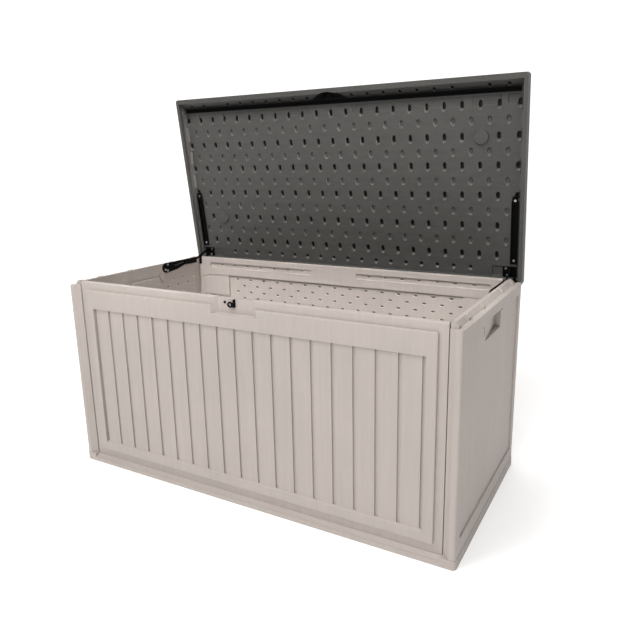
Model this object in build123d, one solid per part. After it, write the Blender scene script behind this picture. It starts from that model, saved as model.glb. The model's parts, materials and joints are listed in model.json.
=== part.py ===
from build123d import *
import math
import os

# A deck storage box of double-walled plastic panels with a hinged, spring-assisted lid.
# Millimetres. The origin is the centre of the base's underside, +X is to the right when
# facing the box, the front is at -Y and +Z is up. The lid is drawn closed, then turned
# about the hinge axis to its open stop, which is the rest pose.

# ---------------------------------------------------------------- driving dimensions
BODY_W = 1530.0  # over the outer faces of the side panels
BODY_D = 737.0  # over the faces of the corner posts
BASE_W = 1536.0
BASE_D = 742.0
SHOULDER_Z = 720.5  # outer shoulder that the closed lid stands over
INNER_LIP_Z = 735.0  # top of the raised lip inside that shoulder
LID_RIM_Z = 721.3  # lower edge of the closed lid
HINGE_Y = 366.4
HINGE_Z = 706.8
LID_OPEN = 82.84  # degrees from closed to the open stop

PART_GAP = 0.5  # gap between parts that only sit beside each other

# base
BASE_LIP_Z = 16.0
BASE_SLOPE_Z = 26.0
SIDE_RAIL_Z = 29.5
FRONT_SEAM_Z = 26.5
SIDE_SEAM_Z = 30.0
BASE_CORNER_R = 14.0
TONGUE_DEPTH = 12.0
TONGUE_LENGTH = 60.0
TONGUE_THICK = 8.0

# front and back panels, as distances from the middle of the box
PANEL_HALF_W = 720.5
FRAME_Y = 358.5
MARGIN_Y = 349.5
PLANK_Y = 352.5
GROOVE_Y = 346.5
PANEL_IN_Y = 330.0
FRAME_HALF_W = 693.0
FRAME_BOTTOM_Z = 56.0
FRAME_TOP_Z = 706.0
FIELD_HALF_W = 660.0
FIELD_BOTTOM_Z = 94.0
SILL_BOTTOM_Z = 86.0
FIELD_TOP_Z = 634.0
PLANKS = 18
PLANK_GROOVE = 12.0

# plastic strips that join the four walls at the inner corners
STRIP_LEG = 22.0
STRIP_THICK = 3.0
STRIP_Z0 = 60.0
STRIP_Z1 = 560.0
STRIP_SCREW_ZS = (100.0, 310.0, 520.0)
STRIP_SCREW_REACH = 14.0

# lock pocket in the front panel
POCKET_HALF_W = 94.0
POCKET_BACK_HALF_W = 71.0
POCKET_BOTTOM_Z = 677.0
POCKET_BACK_BOTTOM_Z = 681.0
POCKET_BACK_Y = 340.0
POCKET_REAR_TOP_Z = 731.0

# side panels, as distances from the middle of the box
SIDE_OUT_X = BODY_W / 2
SIDE_IN_X = 726.0
BAND_IN_X = 721.0
BAND_BOTTOM_Z = 686.0
POST_FRONT_Y = BODY_D / 2
POST_INNER_X = 745.0
POST_EDGE_X = 724.0
POST_BEVEL_Y = 352.0
POST_CORNER_R = 8.0
SIDE_FIELD_DEPTH = 5.0
SIDE_FIELD_HALF_D = 326.0
SIDE_FIELD_BOTTOM_Z = 80.0
SIDE_FIELD_TOP_Z = 681.0
LIP_SLOPE_TOP_X = 732.0
LIP_SLOPE_FOOT_X = 745.5
LIP_HALF_D = 347.0
TAB_YS = (-339.0, -244.0, -89.0, 156.0, 307.0)
TAB_WIDTH = 19.0
TAB_OUT_X = 747.3
TAB_TOP_Z = 736.6
HANDLE_TOP_Z = 689.0
HANDLE_BOTTOM_Z = 625.0
HANDLE_TOP_Y0 = -150.0
HANDLE_BOTTOM_Y0 = -110.0
HANDLE_Y1 = 81.0
HANDLE_FRONT_DEPTH = 3.0
HANDLE_REAR_DEPTH = 25.0
HANDLE_GROOVE_W = 10.0
HANDLE_GROOVE_DEPTH = 16.0

# lid, closed
LID_HALF_W = 762.5
LID_FRONT_Y = -370.0
LID_BACK_Y = 374.0
LID_HEIGHT = 48.0
LID_CORNER_R = 12.0
LID_TOP_R = 7.0
LIP_SIDE = 14.0
LIP_FRONT = 19.0
LIP_BACK = 17.0
LIP_UPRIGHT = 16.0
LID_INSIDE_DEPTH = 32.0
SLOPE_SIDE = 10.0
SLOPE_FRONT = 21.0
SLOPE_BACK = 8.0
UNDERSIDE_Z = LID_RIM_Z + LID_INSIDE_DEPTH

# lid bar and catch, closed
BAR_FRONT_Y = -328.4
BAR_WIDTH = 18.0
BAR_HEIGHT = 15.0
BAR_HALF_L = 736.5
BAR_WALL = 2.0
BAR_SCREW_XS = (-690.0, -420.0, -150.0, 150.0, 420.0, 690.0)
CATCH_HALF_W = 70.0
CATCH_REACH = 27.0
CATCH_FACE_Z = 736.5
CATCH_BACK_Z = 749.0
CATCH_ROOF_Z = 743.5
CATCH_SCREW_X = 38.0
CATCH_SCREW_Y = -334.7
CATCH_HEAD_R = 3.6
HASP_Y0 = -344.5
HASP_Y1 = -341.5
HASP_HALF_W = 8.0

# padlock eyes of hasp and staple, on one axis
EYE_X = -17.0
EYE_Z = 712.0
EYE_HOLE_R = 5.5
RING_R = 10.0
RING_Y0 = -350.0
RING_Y1 = -346.0
STEM_X0 = -4.0
STEM_X1 = 0.0
STEM_TOP_Z = 730.0
STEM_BOTTOM_Z = 703.0
BACKING_THICK = 3.0

# hinges, per side
KNUCKLE_X0 = 727.0
KNUCKLE_X1 = 745.0
KNUCKLE_R = 6.0
PIN_R = 2.5
PIN_CLEARANCE = 0.05
LEAF_THICK = 3.0
NOTCH_Y = 350.0
NOTCH_X0 = 723.0
NOTCH_X1 = 748.0
NOTCH_BOTTOM_Z = 668.0
PLATE_Z0 = 672.0
PLATE_Z1 = 699.0
LEAF_X0 = 686.0
LEAF_Y0 = 308.0
LEAF_FOOT_Z = 712.0

# lid arms
ARM_X0 = 713.5
ARM_X1 = 737.5
ARM_Y0 = 45.0
ARM_Y1 = 298.0
ARM_HEIGHT = 10.0
ARM_WALL = 2.5

# lift linkage, per side
CRANK_Y = 319.6  # crank pin with the lid closed
CRANK_Z = 731.7
CRANK_PIN_R = 3.5
LINK_LENGTH = 100.0
LINK_WIDTH = 9.0
EAR_X0 = 713.0
EAR_X1 = 716.0
LINK_X0 = 716.4
LINK_X1 = 719.4
SLIDE_Z = 722.0
SLIDER_X0 = 720.0
SLIDER_X1 = 727.4
SLIDER_HALF_L = 11.0
SLIDER_HALF_H = 5.5
SPRING_SEAT = 0.8
SPRING_R = 2.9
SPRING_WIRE_R = 0.6
SPRING_TURNS = 24
SLOT_FLOOR_X = 728.4  # groove in the side panel for the slider and its spring
SLOT_HALF_H = 6.2
SLOT_Y0 = 116.0
SLOT_Y1 = 306.0

# wall brackets
BRACKET_X0 = 713.8
BRACKET_SKIN = 2.0
BRACKET_REAR_Y = 306.0
BRACKET_TOP_Z = 737.0
BRACKET_NOSE_Y = 106.0
BRACKET_NOSE_Z = 715.0
BRACKET_NOSE_R = 22.0
BRACKET_BLOCK_Y1 = 115.5
BRACKET_LOWER_EDGE = ((112.0, 693.8), (173.0, 700.0), (222.0, 713.0), (265.0, 711.0), (306.0, 711.0))
WINDOW_HALF_W = 2.0  # slanted window that shows the spring

# steel wing of the body hinge leaf, seen through the notch in the back wall
WING_X0 = 720.3
WING_X1 = 722.5
WING_Y0 = 334.5
WING_Z0 = 699.0
WING_Z1 = 733.0
BACK_NOTCH_X = 704.0
BACK_NOTCH_Z = 698.0

SCREW_HEAD_R = 4.5
SCREW_HEAD_H = 2.5
SCREW_SHANK_R = 2.0
SCREW_HOLE_R = 2.1


# ---------------------------------------------------------------- helpers
def block(x0, x1, y0, y1, z0, z1):
    """A box between two corners."""
    middle = Pos((x0 + x1) / 2, (y0 + y1) / 2, (z0 + z1) / 2)
    return middle * Box(x1 - x0, y1 - y0, z1 - z0)


def rod_x(x0, x1, y, z, radius):
    """A round bar along X."""
    return Pos((x0 + x1) / 2, y, z) * Rot(0, 90, 0) * Cylinder(radius, x1 - x0)


def rod_y(y0, y1, x, z, radius):
    """A round bar along Y."""
    return Pos(x, (y0 + y1) / 2, z) * Rot(90, 0, 0) * Cylinder(radius, y1 - y0)


def rod_z(z0, z1, x, y, radius):
    """A round bar along Z."""
    return Pos(x, y, (z0 + z1) / 2) * Cylinder(radius, z1 - z0)


def prism_x(x0, x1, points):
    """A solid with a (y, z) outline, from x0 to x1."""
    outline = make_face(Polyline(*[(0, y, z) for y, z in points], close=True))
    return Pos(x0, 0, 0) * extrude(outline, amount=x1 - x0, dir=(1, 0, 0))


def prism_y(y0, y1, points):
    """A solid with an (x, z) outline, from y0 to y1."""
    outline = make_face(Polyline(*[(x, 0, z) for x, z in points], close=True))
    return Pos(0, y0, 0) * extrude(outline, amount=y1 - y0, dir=(0, 1, 0))


def prism_z(z0, z1, points):
    """A solid with an (x, y) outline, from z0 to z1."""
    outline = make_face(Polyline(*[(x, y, 0) for x, y in points], close=True))
    return Pos(0, 0, z0) * extrude(outline, amount=z1 - z0, dir=(0, 0, 1))


def frustum(x0, x1, y0, y1, z, inset_x, inset_y0, inset_y1, rise):
    """A solid between a rectangle at z and an inset rectangle at z + rise."""
    low = Pos((x0 + x1) / 2, (y0 + y1) / 2, z) * Rectangle(x1 - x0, y1 - y0)
    top_y0 = y0 + inset_y0
    top_y1 = y1 - inset_y1
    top_w = x1 - x0 - 2 * inset_x
    high = Pos((x0 + x1) / 2, (top_y0 + top_y1) / 2, z + rise) * Rectangle(top_w, top_y1 - top_y0)
    return loft(Sketch() + [low, high])


def other_side(shape):
    """The same shape on the left of the box."""
    return mirror(shape, about=Plane.YZ)


def opened(shape):
    """The shape as it is with the lid at its open stop."""
    return shape.rotate(Axis((0, HINGE_Y, HINGE_Z), (1, 0, 0)), -LID_OPEN)


def opened_point(y, z):
    """Where a point of the closed lid lies with the lid at its open stop."""
    turn = math.radians(-LID_OPEN)
    dy = y - HINGE_Y
    dz = z - HINGE_Z
    new_y = HINGE_Y + dy * math.cos(turn) - dz * math.sin(turn)
    new_z = HINGE_Z + dy * math.sin(turn) + dz * math.cos(turn)
    return new_y, new_z


def write(name, shape):
    """Write one sub-part as parts/name.step."""
    shape.label = name
    export_step(shape, os.path.join("parts", name + ".step"))


def write_pair(name, right):
    """Write the right-hand sub-part and its mirror image."""
    write("right_" + name, right)
    write("left_" + name, other_side(right))


def group(shapes):
    """Separate solids that share one node."""
    return Compound(children=list(shapes))


# ---------------------------------------------------------------- wall fixings
def corner_strip(x_sign, y_sign):
    """The L-shaped strip in one corner of the box."""
    x1 = SIDE_IN_X
    y1 = PANEL_IN_Y
    on_wall = block(x1 - STRIP_LEG, x1, y1 - STRIP_THICK, y1, STRIP_Z0, STRIP_Z1)
    on_side = block(x1 - STRIP_THICK, x1, y1 - STRIP_LEG, y1, STRIP_Z0, STRIP_Z1)
    strip = on_wall + on_side
    for z in STRIP_SCREW_ZS:
        strip -= rod_y(y1 - 5.0, y1 + 1.0, x1 - STRIP_SCREW_REACH, z, SCREW_HOLE_R)
        strip -= rod_x(x1 - 5.0, x1 + 1.0, y1 - STRIP_SCREW_REACH, z, SCREW_HOLE_R)
    return in_corner(strip, x_sign, y_sign)


def in_corner(shape, x_sign, y_sign):
    """A shape drawn in the +X +Y corner, moved to another corner by mirroring."""
    if y_sign < 0:
        shape = mirror(shape, about=Plane.XZ)
    if x_sign < 0:
        shape = mirror(shape, about=Plane.YZ)
    return shape


def strip_screws(x_sign, y_sign):
    """The six screws of one corner strip."""
    screws = []
    face_y = PANEL_IN_Y - STRIP_THICK
    face_x = SIDE_IN_X - STRIP_THICK
    for z in STRIP_SCREW_ZS:
        x = SIDE_IN_X - STRIP_SCREW_REACH
        y = PANEL_IN_Y - STRIP_SCREW_REACH
        along_y = rod_y(face_y - SCREW_HEAD_H, face_y, x, z, SCREW_HEAD_R)
        along_y += rod_y(face_y - 1.0, PANEL_IN_Y + 12.0, x, z, SCREW_SHANK_R)
        along_x = rod_x(face_x - SCREW_HEAD_H, face_x, y, z, SCREW_HEAD_R)
        along_x += rod_x(face_x - 1.0, SIDE_IN_X + 13.0, y, z, SCREW_SHANK_R)
        screws.append(in_corner(along_y, x_sign, y_sign))
        screws.append(in_corner(along_x, x_sign, y_sign))
    return screws


def corners():
    """The four corners of the box as signs of X and Y."""
    return [(-1, -1), (1, -1), (-1, 1), (1, 1)]


def tongue_xs():
    """Centres of the tongues along a front or back panel."""
    return (-560.0, -280.0, 0.0, 280.0, 560.0)


def tongue_ys():
    """Centres of the tongues along a side panel."""
    return (-230.0, 0.0, 230.0)


def panel_tongue(x, sign, grow=0.0):
    """One tongue under the front (sign -1) or back (sign 1) panel."""
    y = sign * (PANEL_IN_Y + 4.0 + TONGUE_THICK / 2)
    half = TONGUE_THICK / 2 + grow
    z0 = FRONT_SEAM_Z - TONGUE_DEPTH - grow
    reach = TONGUE_LENGTH / 2 + grow
    return block(x - reach, x + reach, y - half, y + half, z0, FRONT_SEAM_Z + 1.0)


def side_tongue(y, grow=0.0):
    """One tongue under the right side panel."""
    x = SIDE_IN_X + 10.0 + TONGUE_THICK / 2
    half = TONGUE_THICK / 2 + grow
    z0 = SIDE_SEAM_Z - TONGUE_DEPTH - grow
    reach = TONGUE_LENGTH / 2 + grow
    return block(x - half, x + half, y - reach, y + reach, z0, SIDE_SEAM_Z + 1.0)


# ---------------------------------------------------------------- base
def base_panel():
    """Floor tray with a rounded lip, a sloped shelf in front of the panels and side rails."""
    lip = extrude(RectangleRounded(BASE_W, BASE_D, BASE_CORNER_R), amount=BASE_LIP_Z)
    lip = fillet(lip.edges().group_by(Axis.Z)[-1], 4.0)
    slope_y = BASE_D / 2 - 5.0
    foot = BASE_LIP_Z - 1.0
    slope = prism_x(
        -PANEL_HALF_W - 1.0,
        PANEL_HALF_W + 1.0,
        [
            (-slope_y, foot),
            (-MARGIN_Y - 2.0, BASE_SLOPE_Z),
            (MARGIN_Y + 2.0, BASE_SLOPE_Z),
            (slope_y, foot),
        ],
    )
    rail_y = BODY_D / 2 + 1.0
    rail = block(PANEL_HALF_W + PART_GAP, SIDE_OUT_X + 1.5, -rail_y, rail_y, 4.0, SIDE_RAIL_Z)
    upright = rail.edges().filter_by(Axis.Z).group_by(Axis.X)[-1]
    rail = fillet(upright, POST_CORNER_R + 1.0)
    body = lip + slope + rail + other_side(rail)
    for x in tongue_xs():
        for sign in (-1, 1):
            body -= panel_tongue(x, sign, PART_GAP)
    for y in tongue_ys():
        slot = side_tongue(y, PART_GAP)
        body -= slot
        body -= other_side(slot)
    return body


# ---------------------------------------------------------------- front and back panels
def plank_pitch():
    """Width of one plank with its groove."""
    return (2 * FIELD_HALF_W - PLANK_GROOVE) / PLANKS


def long_panel():
    """A front wall panel: core, raised frame, planked field and tongues."""
    core = block(-PANEL_HALF_W, PANEL_HALF_W, -MARGIN_Y, -PANEL_IN_Y, FRONT_SEAM_Z, INNER_LIP_Z)
    top_edges = core.edges().filter_by(Axis.X).group_by(Axis.Z)[-1]
    core = chamfer(top_edges, 3.0)
    frame = block(-FRAME_HALF_W, FRAME_HALF_W, -FRAME_Y, -MARGIN_Y, FRAME_BOTTOM_Z, FRAME_TOP_Z)
    corners = frame.edges().filter_by(Axis.Y)
    frame = fillet(corners, 6.0)
    frame = chamfer(frame.faces().sort_by(Axis.Y)[0].edges(), 2.0)
    window = block(-FIELD_HALF_W, FIELD_HALF_W, -FRAME_Y - 1.0, -GROOVE_Y, FIELD_BOTTOM_Z, FIELD_TOP_Z)
    sill = prism_x(
        -FIELD_HALF_W,
        FIELD_HALF_W,
        [
            (-FRAME_Y - 1.0, SILL_BOTTOM_Z - 1.0),
            (-PLANK_Y, FIELD_BOTTOM_Z),
            (-PLANK_Y, FIELD_BOTTOM_Z + 8.0),
            (-FRAME_Y - 1.0, FIELD_BOTTOM_Z + 8.0),
        ],
    )
    panel = core + frame - window - sill
    pitch = plank_pitch()
    for k in range(PLANKS):
        x0 = -FIELD_HALF_W + PLANK_GROOVE + k * pitch
        x1 = x0 + pitch - PLANK_GROOVE
        panel += block(x0, x1, -PLANK_Y, -GROOVE_Y + 1.0, FIELD_BOTTOM_Z - 1.0, FIELD_TOP_Z + 1.0)
    for x in tongue_xs():
        panel += panel_tongue(x, -1)
    for z in STRIP_SCREW_ZS:
        for sign in (-1, 1):
            x = sign * (SIDE_IN_X - STRIP_SCREW_REACH)
            panel -= rod_y(-PANEL_IN_Y - 13.0, -PANEL_IN_Y + 1.0, x, z, SCREW_HOLE_R)
    return panel


def front_panel():
    """The long panel with the lock pocket and the openings for the padlock staple."""
    opening = prism_z(
        POCKET_BOTTOM_Z,
        INNER_LIP_Z + 1.0,
        [
            (-POCKET_HALF_W, -FRAME_Y - 1.0),
            (POCKET_HALF_W, -FRAME_Y - 1.0),
            (POCKET_BACK_HALF_W, -POCKET_BACK_Y),
            (-POCKET_BACK_HALF_W, -POCKET_BACK_Y),
        ],
    )
    sill = prism_x(
        -POCKET_HALF_W,
        POCKET_HALF_W,
        [
            (-FRAME_Y, POCKET_BOTTOM_Z),
            (-POCKET_BACK_Y, POCKET_BOTTOM_Z),
            (-POCKET_BACK_Y, POCKET_BACK_BOTTOM_Z),
        ],
    )
    opening -= sill
    half = POCKET_BACK_HALF_W
    rear = block(-half, half, -POCKET_BACK_Y - 1.0, 0.0, POCKET_REAR_TOP_Z, INNER_LIP_Z + 1.0)
    panel = long_panel() - opening - rear
    x, z = staple_screw_place()
    panel -= rod_y(-POCKET_BACK_Y - 1.0, -PANEL_IN_Y + 1.0, x, z, SCREW_HOLE_R)
    panel -= staple_slot(0.1)
    return panel


def back_panel():
    """The same long panel turned to the rear, with a notch at each end for link and hinge."""
    panel = long_panel().rotate(Axis.Z, 180)
    for sign in (-1, 1):
        edges = sorted((sign * BACK_NOTCH_X, sign * (PANEL_HALF_W + 1.0)))
        panel -= block(edges[0], edges[1], 0.0, BODY_D, BACK_NOTCH_Z, INNER_LIP_Z + 1.0)
    return panel


# ---------------------------------------------------------------- side panels
def corner_post(sign):
    """The proud post at the front (sign -1) or back (sign 1) of the right side panel."""
    outline = [
        (SIDE_OUT_X, sign * 300.0),
        (SIDE_OUT_X, sign * POST_FRONT_Y),
        (POST_INNER_X, sign * POST_FRONT_Y),
        (POST_EDGE_X, sign * POST_BEVEL_Y),
        (POST_EDGE_X, sign * (PANEL_IN_Y + 1.0)),
        (SIDE_IN_X, sign * (PANEL_IN_Y + 1.0)),
        (SIDE_IN_X, sign * 300.0),
    ]
    post = prism_z(SIDE_SEAM_Z, SHOULDER_Z, outline)
    outer = post.edges().filter_by(Axis.Z).group_by(Axis.X)[-1]
    ends = outer.group_by(Axis.Y)
    corner = ends[0] if sign < 0 else ends[-1]
    return fillet(corner, POST_CORNER_R)


def side_panel():
    """The right side panel: wall, posts, raised lip with locating tabs, handle recess."""
    panel = block(SIDE_IN_X, SIDE_OUT_X, -301.0, 301.0, SIDE_SEAM_Z, SHOULDER_Z)
    panel += corner_post(-1)
    panel += corner_post(1)
    panel += prism_y(
        -LIP_HALF_D,
        LIP_HALF_D,
        [
            (BAND_IN_X, BAND_BOTTOM_Z),
            (SIDE_IN_X + 2.0, BAND_BOTTOM_Z),
            (SIDE_IN_X + 2.0, SHOULDER_Z - 1.0),
            (LIP_SLOPE_FOOT_X + 1.0, SHOULDER_Z - 1.0),
            (LIP_SLOPE_TOP_X, INNER_LIP_Z),
            (BAND_IN_X, INNER_LIP_Z),
        ],
    )
    for sign in (-1, 1):
        ends = sorted((sign * (PANEL_IN_Y - PART_GAP), sign * (LIP_HALF_D + 1.0)))
        panel -= block(BAND_IN_X - 1.0, POST_EDGE_X, ends[0], ends[1], 0.0, INNER_LIP_Z + 1.0)
    for y in TAB_YS:
        half = TAB_WIDTH / 2
        tab = [
            (LIP_SLOPE_TOP_X - 2.0, SHOULDER_Z - 1.0),
            (TAB_OUT_X, SHOULDER_Z - 1.0),
            (TAB_OUT_X, TAB_TOP_Z - 8.0),
            (LIP_SLOPE_TOP_X + 6.0, TAB_TOP_Z),
            (LIP_SLOPE_TOP_X - 2.0, TAB_TOP_Z),
        ]
        panel += prism_y(y - half, y + half, tab)
    panel -= block(
        SIDE_OUT_X - SIDE_FIELD_DEPTH,
        SIDE_OUT_X + 1.0,
        -SIDE_FIELD_HALF_D,
        SIDE_FIELD_HALF_D,
        SIDE_FIELD_BOTTOM_Z,
        SIDE_FIELD_TOP_Z,
    )
    panel -= handle_recess()
    for y in tongue_ys():
        panel += side_tongue(y)
    for z in STRIP_SCREW_ZS:
        for sign in (-1, 1):
            y = sign * (PANEL_IN_Y - STRIP_SCREW_REACH)
            panel -= rod_x(SIDE_IN_X - 1.0, SIDE_IN_X + 14.0, y, z, SCREW_HOLE_R)
    panel -= block(NOTCH_X0 - 1.0, NOTCH_X1, NOTCH_Y, BODY_D, NOTCH_BOTTOM_Z, INNER_LIP_Z + 1.0)
    for x in leaf_screw_xs():
        panel -= rod_y(NOTCH_Y - 15.0, NOTCH_Y + 1.0, x, leaf_screw_z(), SCREW_HOLE_R)
    for y, z in bracket_screw_places():
        panel -= rod_x(BAND_IN_X - 1.0, BAND_IN_X + 15.0, y, z, SCREW_HOLE_R)
    z0 = SLIDE_Z - SLOT_HALF_H
    z1 = SLIDE_Z + SLOT_HALF_H
    panel -= block(BAND_IN_X - 1.0, SLOT_FLOOR_X, SLOT_Y0, SLOT_Y1, z0, z1)
    return panel


def handle_recess():
    """The hand hold in the outer face: a floor that deepens to the rear and a groove in front."""
    face = SIDE_OUT_X + 0.5
    mouth = [
        (HANDLE_TOP_Y0, HANDLE_TOP_Z),
        (HANDLE_Y1, HANDLE_TOP_Z),
        (HANDLE_Y1, HANDLE_BOTTOM_Z),
        (HANDLE_BOTTOM_Y0, HANDLE_BOTTOM_Z),
    ]
    floor = [
        (face, HANDLE_TOP_Y0),
        (SIDE_OUT_X - HANDLE_FRONT_DEPTH, HANDLE_TOP_Y0),
        (SIDE_OUT_X - HANDLE_REAR_DEPTH, HANDLE_Y1 - 5.0),
        (face, HANDLE_Y1),
    ]
    wedge = prism_z(HANDLE_BOTTOM_Z, HANDLE_TOP_Z, floor)
    groove = [
        (HANDLE_TOP_Y0, HANDLE_TOP_Z),
        (HANDLE_TOP_Y0 + HANDLE_GROOVE_W, HANDLE_TOP_Z),
        (HANDLE_BOTTOM_Y0 + HANDLE_GROOVE_W, HANDLE_BOTTOM_Z),
        (HANDLE_BOTTOM_Y0, HANDLE_BOTTOM_Z),
    ]
    recess = prism_x(SIDE_IN_X, face, mouth) & wedge
    return recess + prism_x(SIDE_OUT_X - HANDLE_GROOVE_DEPTH, face, groove)


# ---------------------------------------------------------------- lid
def lid_shell():
    """The lid's outer form with its drafted hollow, closed."""
    half_y = (LID_BACK_Y - LID_FRONT_Y) / 2
    mid_y = (LID_BACK_Y + LID_FRONT_Y) / 2
    outline = Pos(0, mid_y, LID_RIM_Z) * RectangleRounded(2 * LID_HALF_W, 2 * half_y, LID_CORNER_R)
    body = extrude(outline, amount=LID_HEIGHT)
    body = fillet(body.edges().group_by(Axis.Z)[-1], LID_TOP_R)
    x_in = LID_HALF_W - LIP_SIDE
    y0 = LID_FRONT_Y + LIP_FRONT
    y1 = LID_BACK_Y - LIP_BACK
    body -= block(-x_in, x_in, y0, y1, LID_RIM_Z - 1.0, LID_RIM_Z + LIP_UPRIGHT + 0.01)
    rise = LID_INSIDE_DEPTH - LIP_UPRIGHT
    body -= frustum(-x_in, x_in, y0, y1, LID_RIM_Z + LIP_UPRIGHT, SLOPE_SIDE, SLOPE_FRONT, SLOPE_BACK, rise)
    return body


def catch_outline(grow=0.0):
    """Half-moon outline of the catch as a flat face at z 0."""
    half = CATCH_HALF_W + grow
    reach = CATCH_REACH + grow
    base_y = BAR_FRONT_Y - 0.4
    chord = Line((-half, base_y), (half, base_y))
    arc = ThreePointArc((half, base_y), (0, base_y - reach), (-half, base_y))
    return make_face(chord + arc)


def lid_panel():
    """The lid with the seat of the catch and the pilot holes of everything screwed to it."""
    body = lid_shell()
    seat_z = LID_RIM_Z - 1.0
    seat = extrude(catch_outline(PART_GAP), amount=CATCH_BACK_Z + PART_GAP - seat_z)
    body -= Pos(0, 0, seat_z) * seat
    for x, y in lid_screw_places():
        body -= rod_z(UNDERSIDE_Z - 1.0, UNDERSIDE_Z + 11.0, x, y, SCREW_HOLE_R)
    for sign in (-1, 1):
        body -= rod_z(CATCH_BACK_Z, CATCH_BACK_Z + 10.0, sign * CATCH_SCREW_X, CATCH_SCREW_Y, SCREW_HOLE_R)
    return body


def lid_screw_places():
    """(x, y) of every screw that goes up into the lid, closed."""
    places = [(x, BAR_FRONT_Y + BAR_WIDTH / 2) for x in BAR_SCREW_XS]
    for sign in (-1, 1):
        places += [(sign * x, y) for x, y in arm_screw_places()]
        places += [(sign * x, y) for x, y in lid_leaf_screw_places()]
    return places


def lid_bar():
    """Steel channel across the front of the lid, its open side facing down when closed."""
    y0 = BAR_FRONT_Y
    y1 = BAR_FRONT_Y + BAR_WIDTH
    bar = block(-BAR_HALF_L, BAR_HALF_L, y0, y1, UNDERSIDE_Z - BAR_HEIGHT, UNDERSIDE_Z)
    bar -= block(-BAR_HALF_L - 1, BAR_HALF_L + 1, y0 + BAR_WALL, y1 - BAR_WALL, 0, UNDERSIDE_Z - BAR_WALL)
    for x in BAR_SCREW_XS:
        bar -= rod_z(UNDERSIDE_Z - 5.0, UNDERSIDE_Z + 1.0, x, (y0 + y1) / 2, SCREW_HOLE_R)
    return bar


def screw_up(x, y, z):
    """A pan-head screw that goes up from the face at z."""
    return rod_z(z - SCREW_HEAD_H, z, x, y, SCREW_HEAD_R) + rod_z(z - 1.0, z + 10.0, x, y, SCREW_SHANK_R)


def lid_bar_screws():
    """The screws of the lid bar."""
    z = UNDERSIDE_Z - BAR_WALL
    return [screw_up(x, BAR_FRONT_Y + BAR_WIDTH / 2, z) for x in BAR_SCREW_XS]


def lid_catch():
    """Half-moon catch housing, sunk into the lid's front lip, closed."""
    z0 = CATCH_FACE_Z
    body = Pos(0, 0, z0) * extrude(catch_outline(), amount=CATCH_BACK_Z - z0)
    hollow = Pos(0, 0, z0 - 1.0) * extrude(offset(catch_outline(), -3.5), amount=CATCH_ROOF_Z - z0 + 1.0)
    for sign in (-1, 1):
        hollow -= rod_z(z0 + 4.0, CATCH_ROOF_Z, sign * CATCH_SCREW_X, CATCH_SCREW_Y, 5.5)
        tip_y = BAR_FRONT_Y - CATCH_REACH + 2.0
        foot_y = BAR_FRONT_Y - 1.0
        strut = [(0.0, tip_y), (sign * 4.0, tip_y), (sign * 28.0, foot_y), (sign * 24.0, foot_y)]
        hollow -= prism_z(z0 + 1.0, CATCH_ROOF_Z, strut)
    body -= hollow
    body -= block(
        EYE_X - HASP_HALF_W - 0.1,
        EYE_X + HASP_HALF_W + 0.1,
        HASP_Y0 - 0.1,
        HASP_Y1 + 0.1,
        z0,
        CATCH_BACK_Z - 2.0,
    )
    for sign in (-1, 1):
        body -= rod_z(z0, CATCH_BACK_Z + 1.0, sign * CATCH_SCREW_X, CATCH_SCREW_Y, SCREW_HOLE_R)
        body -= rod_z(z0 - 1.0, z0 + 4.0, sign * CATCH_SCREW_X, CATCH_SCREW_Y, CATCH_HEAD_R + 0.2)
    return body


def lid_catch_screws():
    """The two screws that hold the catch in the lid, closed."""
    z = CATCH_FACE_Z + 4.0
    screws = []
    for sign in (-1, 1):
        x = sign * CATCH_SCREW_X
        head = rod_z(z - SCREW_HEAD_H, z, x, CATCH_SCREW_Y, CATCH_HEAD_R)
        screws.append(head + rod_z(z - 1.0, z + 17.0, x, CATCH_SCREW_Y, SCREW_SHANK_R))
    return screws


def lid_hasp():
    """Steel tongue with the padlock eye that hangs from the catch, closed."""
    top = CATCH_BACK_Z - 2.0
    plate = block(EYE_X - HASP_HALF_W, EYE_X + HASP_HALF_W, HASP_Y0, HASP_Y1, EYE_Z, top)
    plate += rod_y(HASP_Y0, HASP_Y1, EYE_X, EYE_Z, HASP_HALF_W)
    plate -= rod_y(HASP_Y0 - 1.0, HASP_Y1 + 1.0, EYE_X, EYE_Z, EYE_HOLE_R)
    return plate


# ---------------------------------------------------------------- padlock staple
def staple_screw_place():
    """(x, z) of the staple's screw."""
    return (-43.0, 717.0)


def lock_staple():
    """Padlock eye on a stem that goes through the back of the lock pocket."""
    ring = rod_y(RING_Y0, RING_Y1, EYE_X, EYE_Z, RING_R)
    ring += block(EYE_X + 2.0, STEM_X1, RING_Y0, RING_Y1, EYE_Z - 8.0, EYE_Z + 8.0)
    ring -= rod_y(RING_Y0 - 1.0, RING_Y1 + 1.0, EYE_X, EYE_Z, EYE_HOLE_R)
    stem = block(STEM_X0, STEM_X1, RING_Y0, -POCKET_BACK_Y, STEM_BOTTOM_Z, STEM_TOP_Z)
    z0 = STEM_BOTTOM_Z + 4.0
    z1 = STEM_TOP_Z - 8.0
    root = block(STEM_X0, STEM_X1, -POCKET_BACK_Y, -PANEL_IN_Y + BACKING_THICK, z0, z1)
    return ring + stem + root


def lock_backing():
    """Plate inside the front panel that the staple's root is riveted into."""
    x, z = staple_screw_place()
    y0 = -PANEL_IN_Y
    y1 = -PANEL_IN_Y + BACKING_THICK
    plate = block(x - 10.0, STEM_X1 + 16.0, y0, y1, STEM_BOTTOM_Z - 2.0, STEM_TOP_Z - 2.0)
    plate -= staple_slot(0.05)
    plate -= rod_y(y0 - 1.0, y1 + 1.0, x, z, SCREW_HOLE_R)
    return plate


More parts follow.
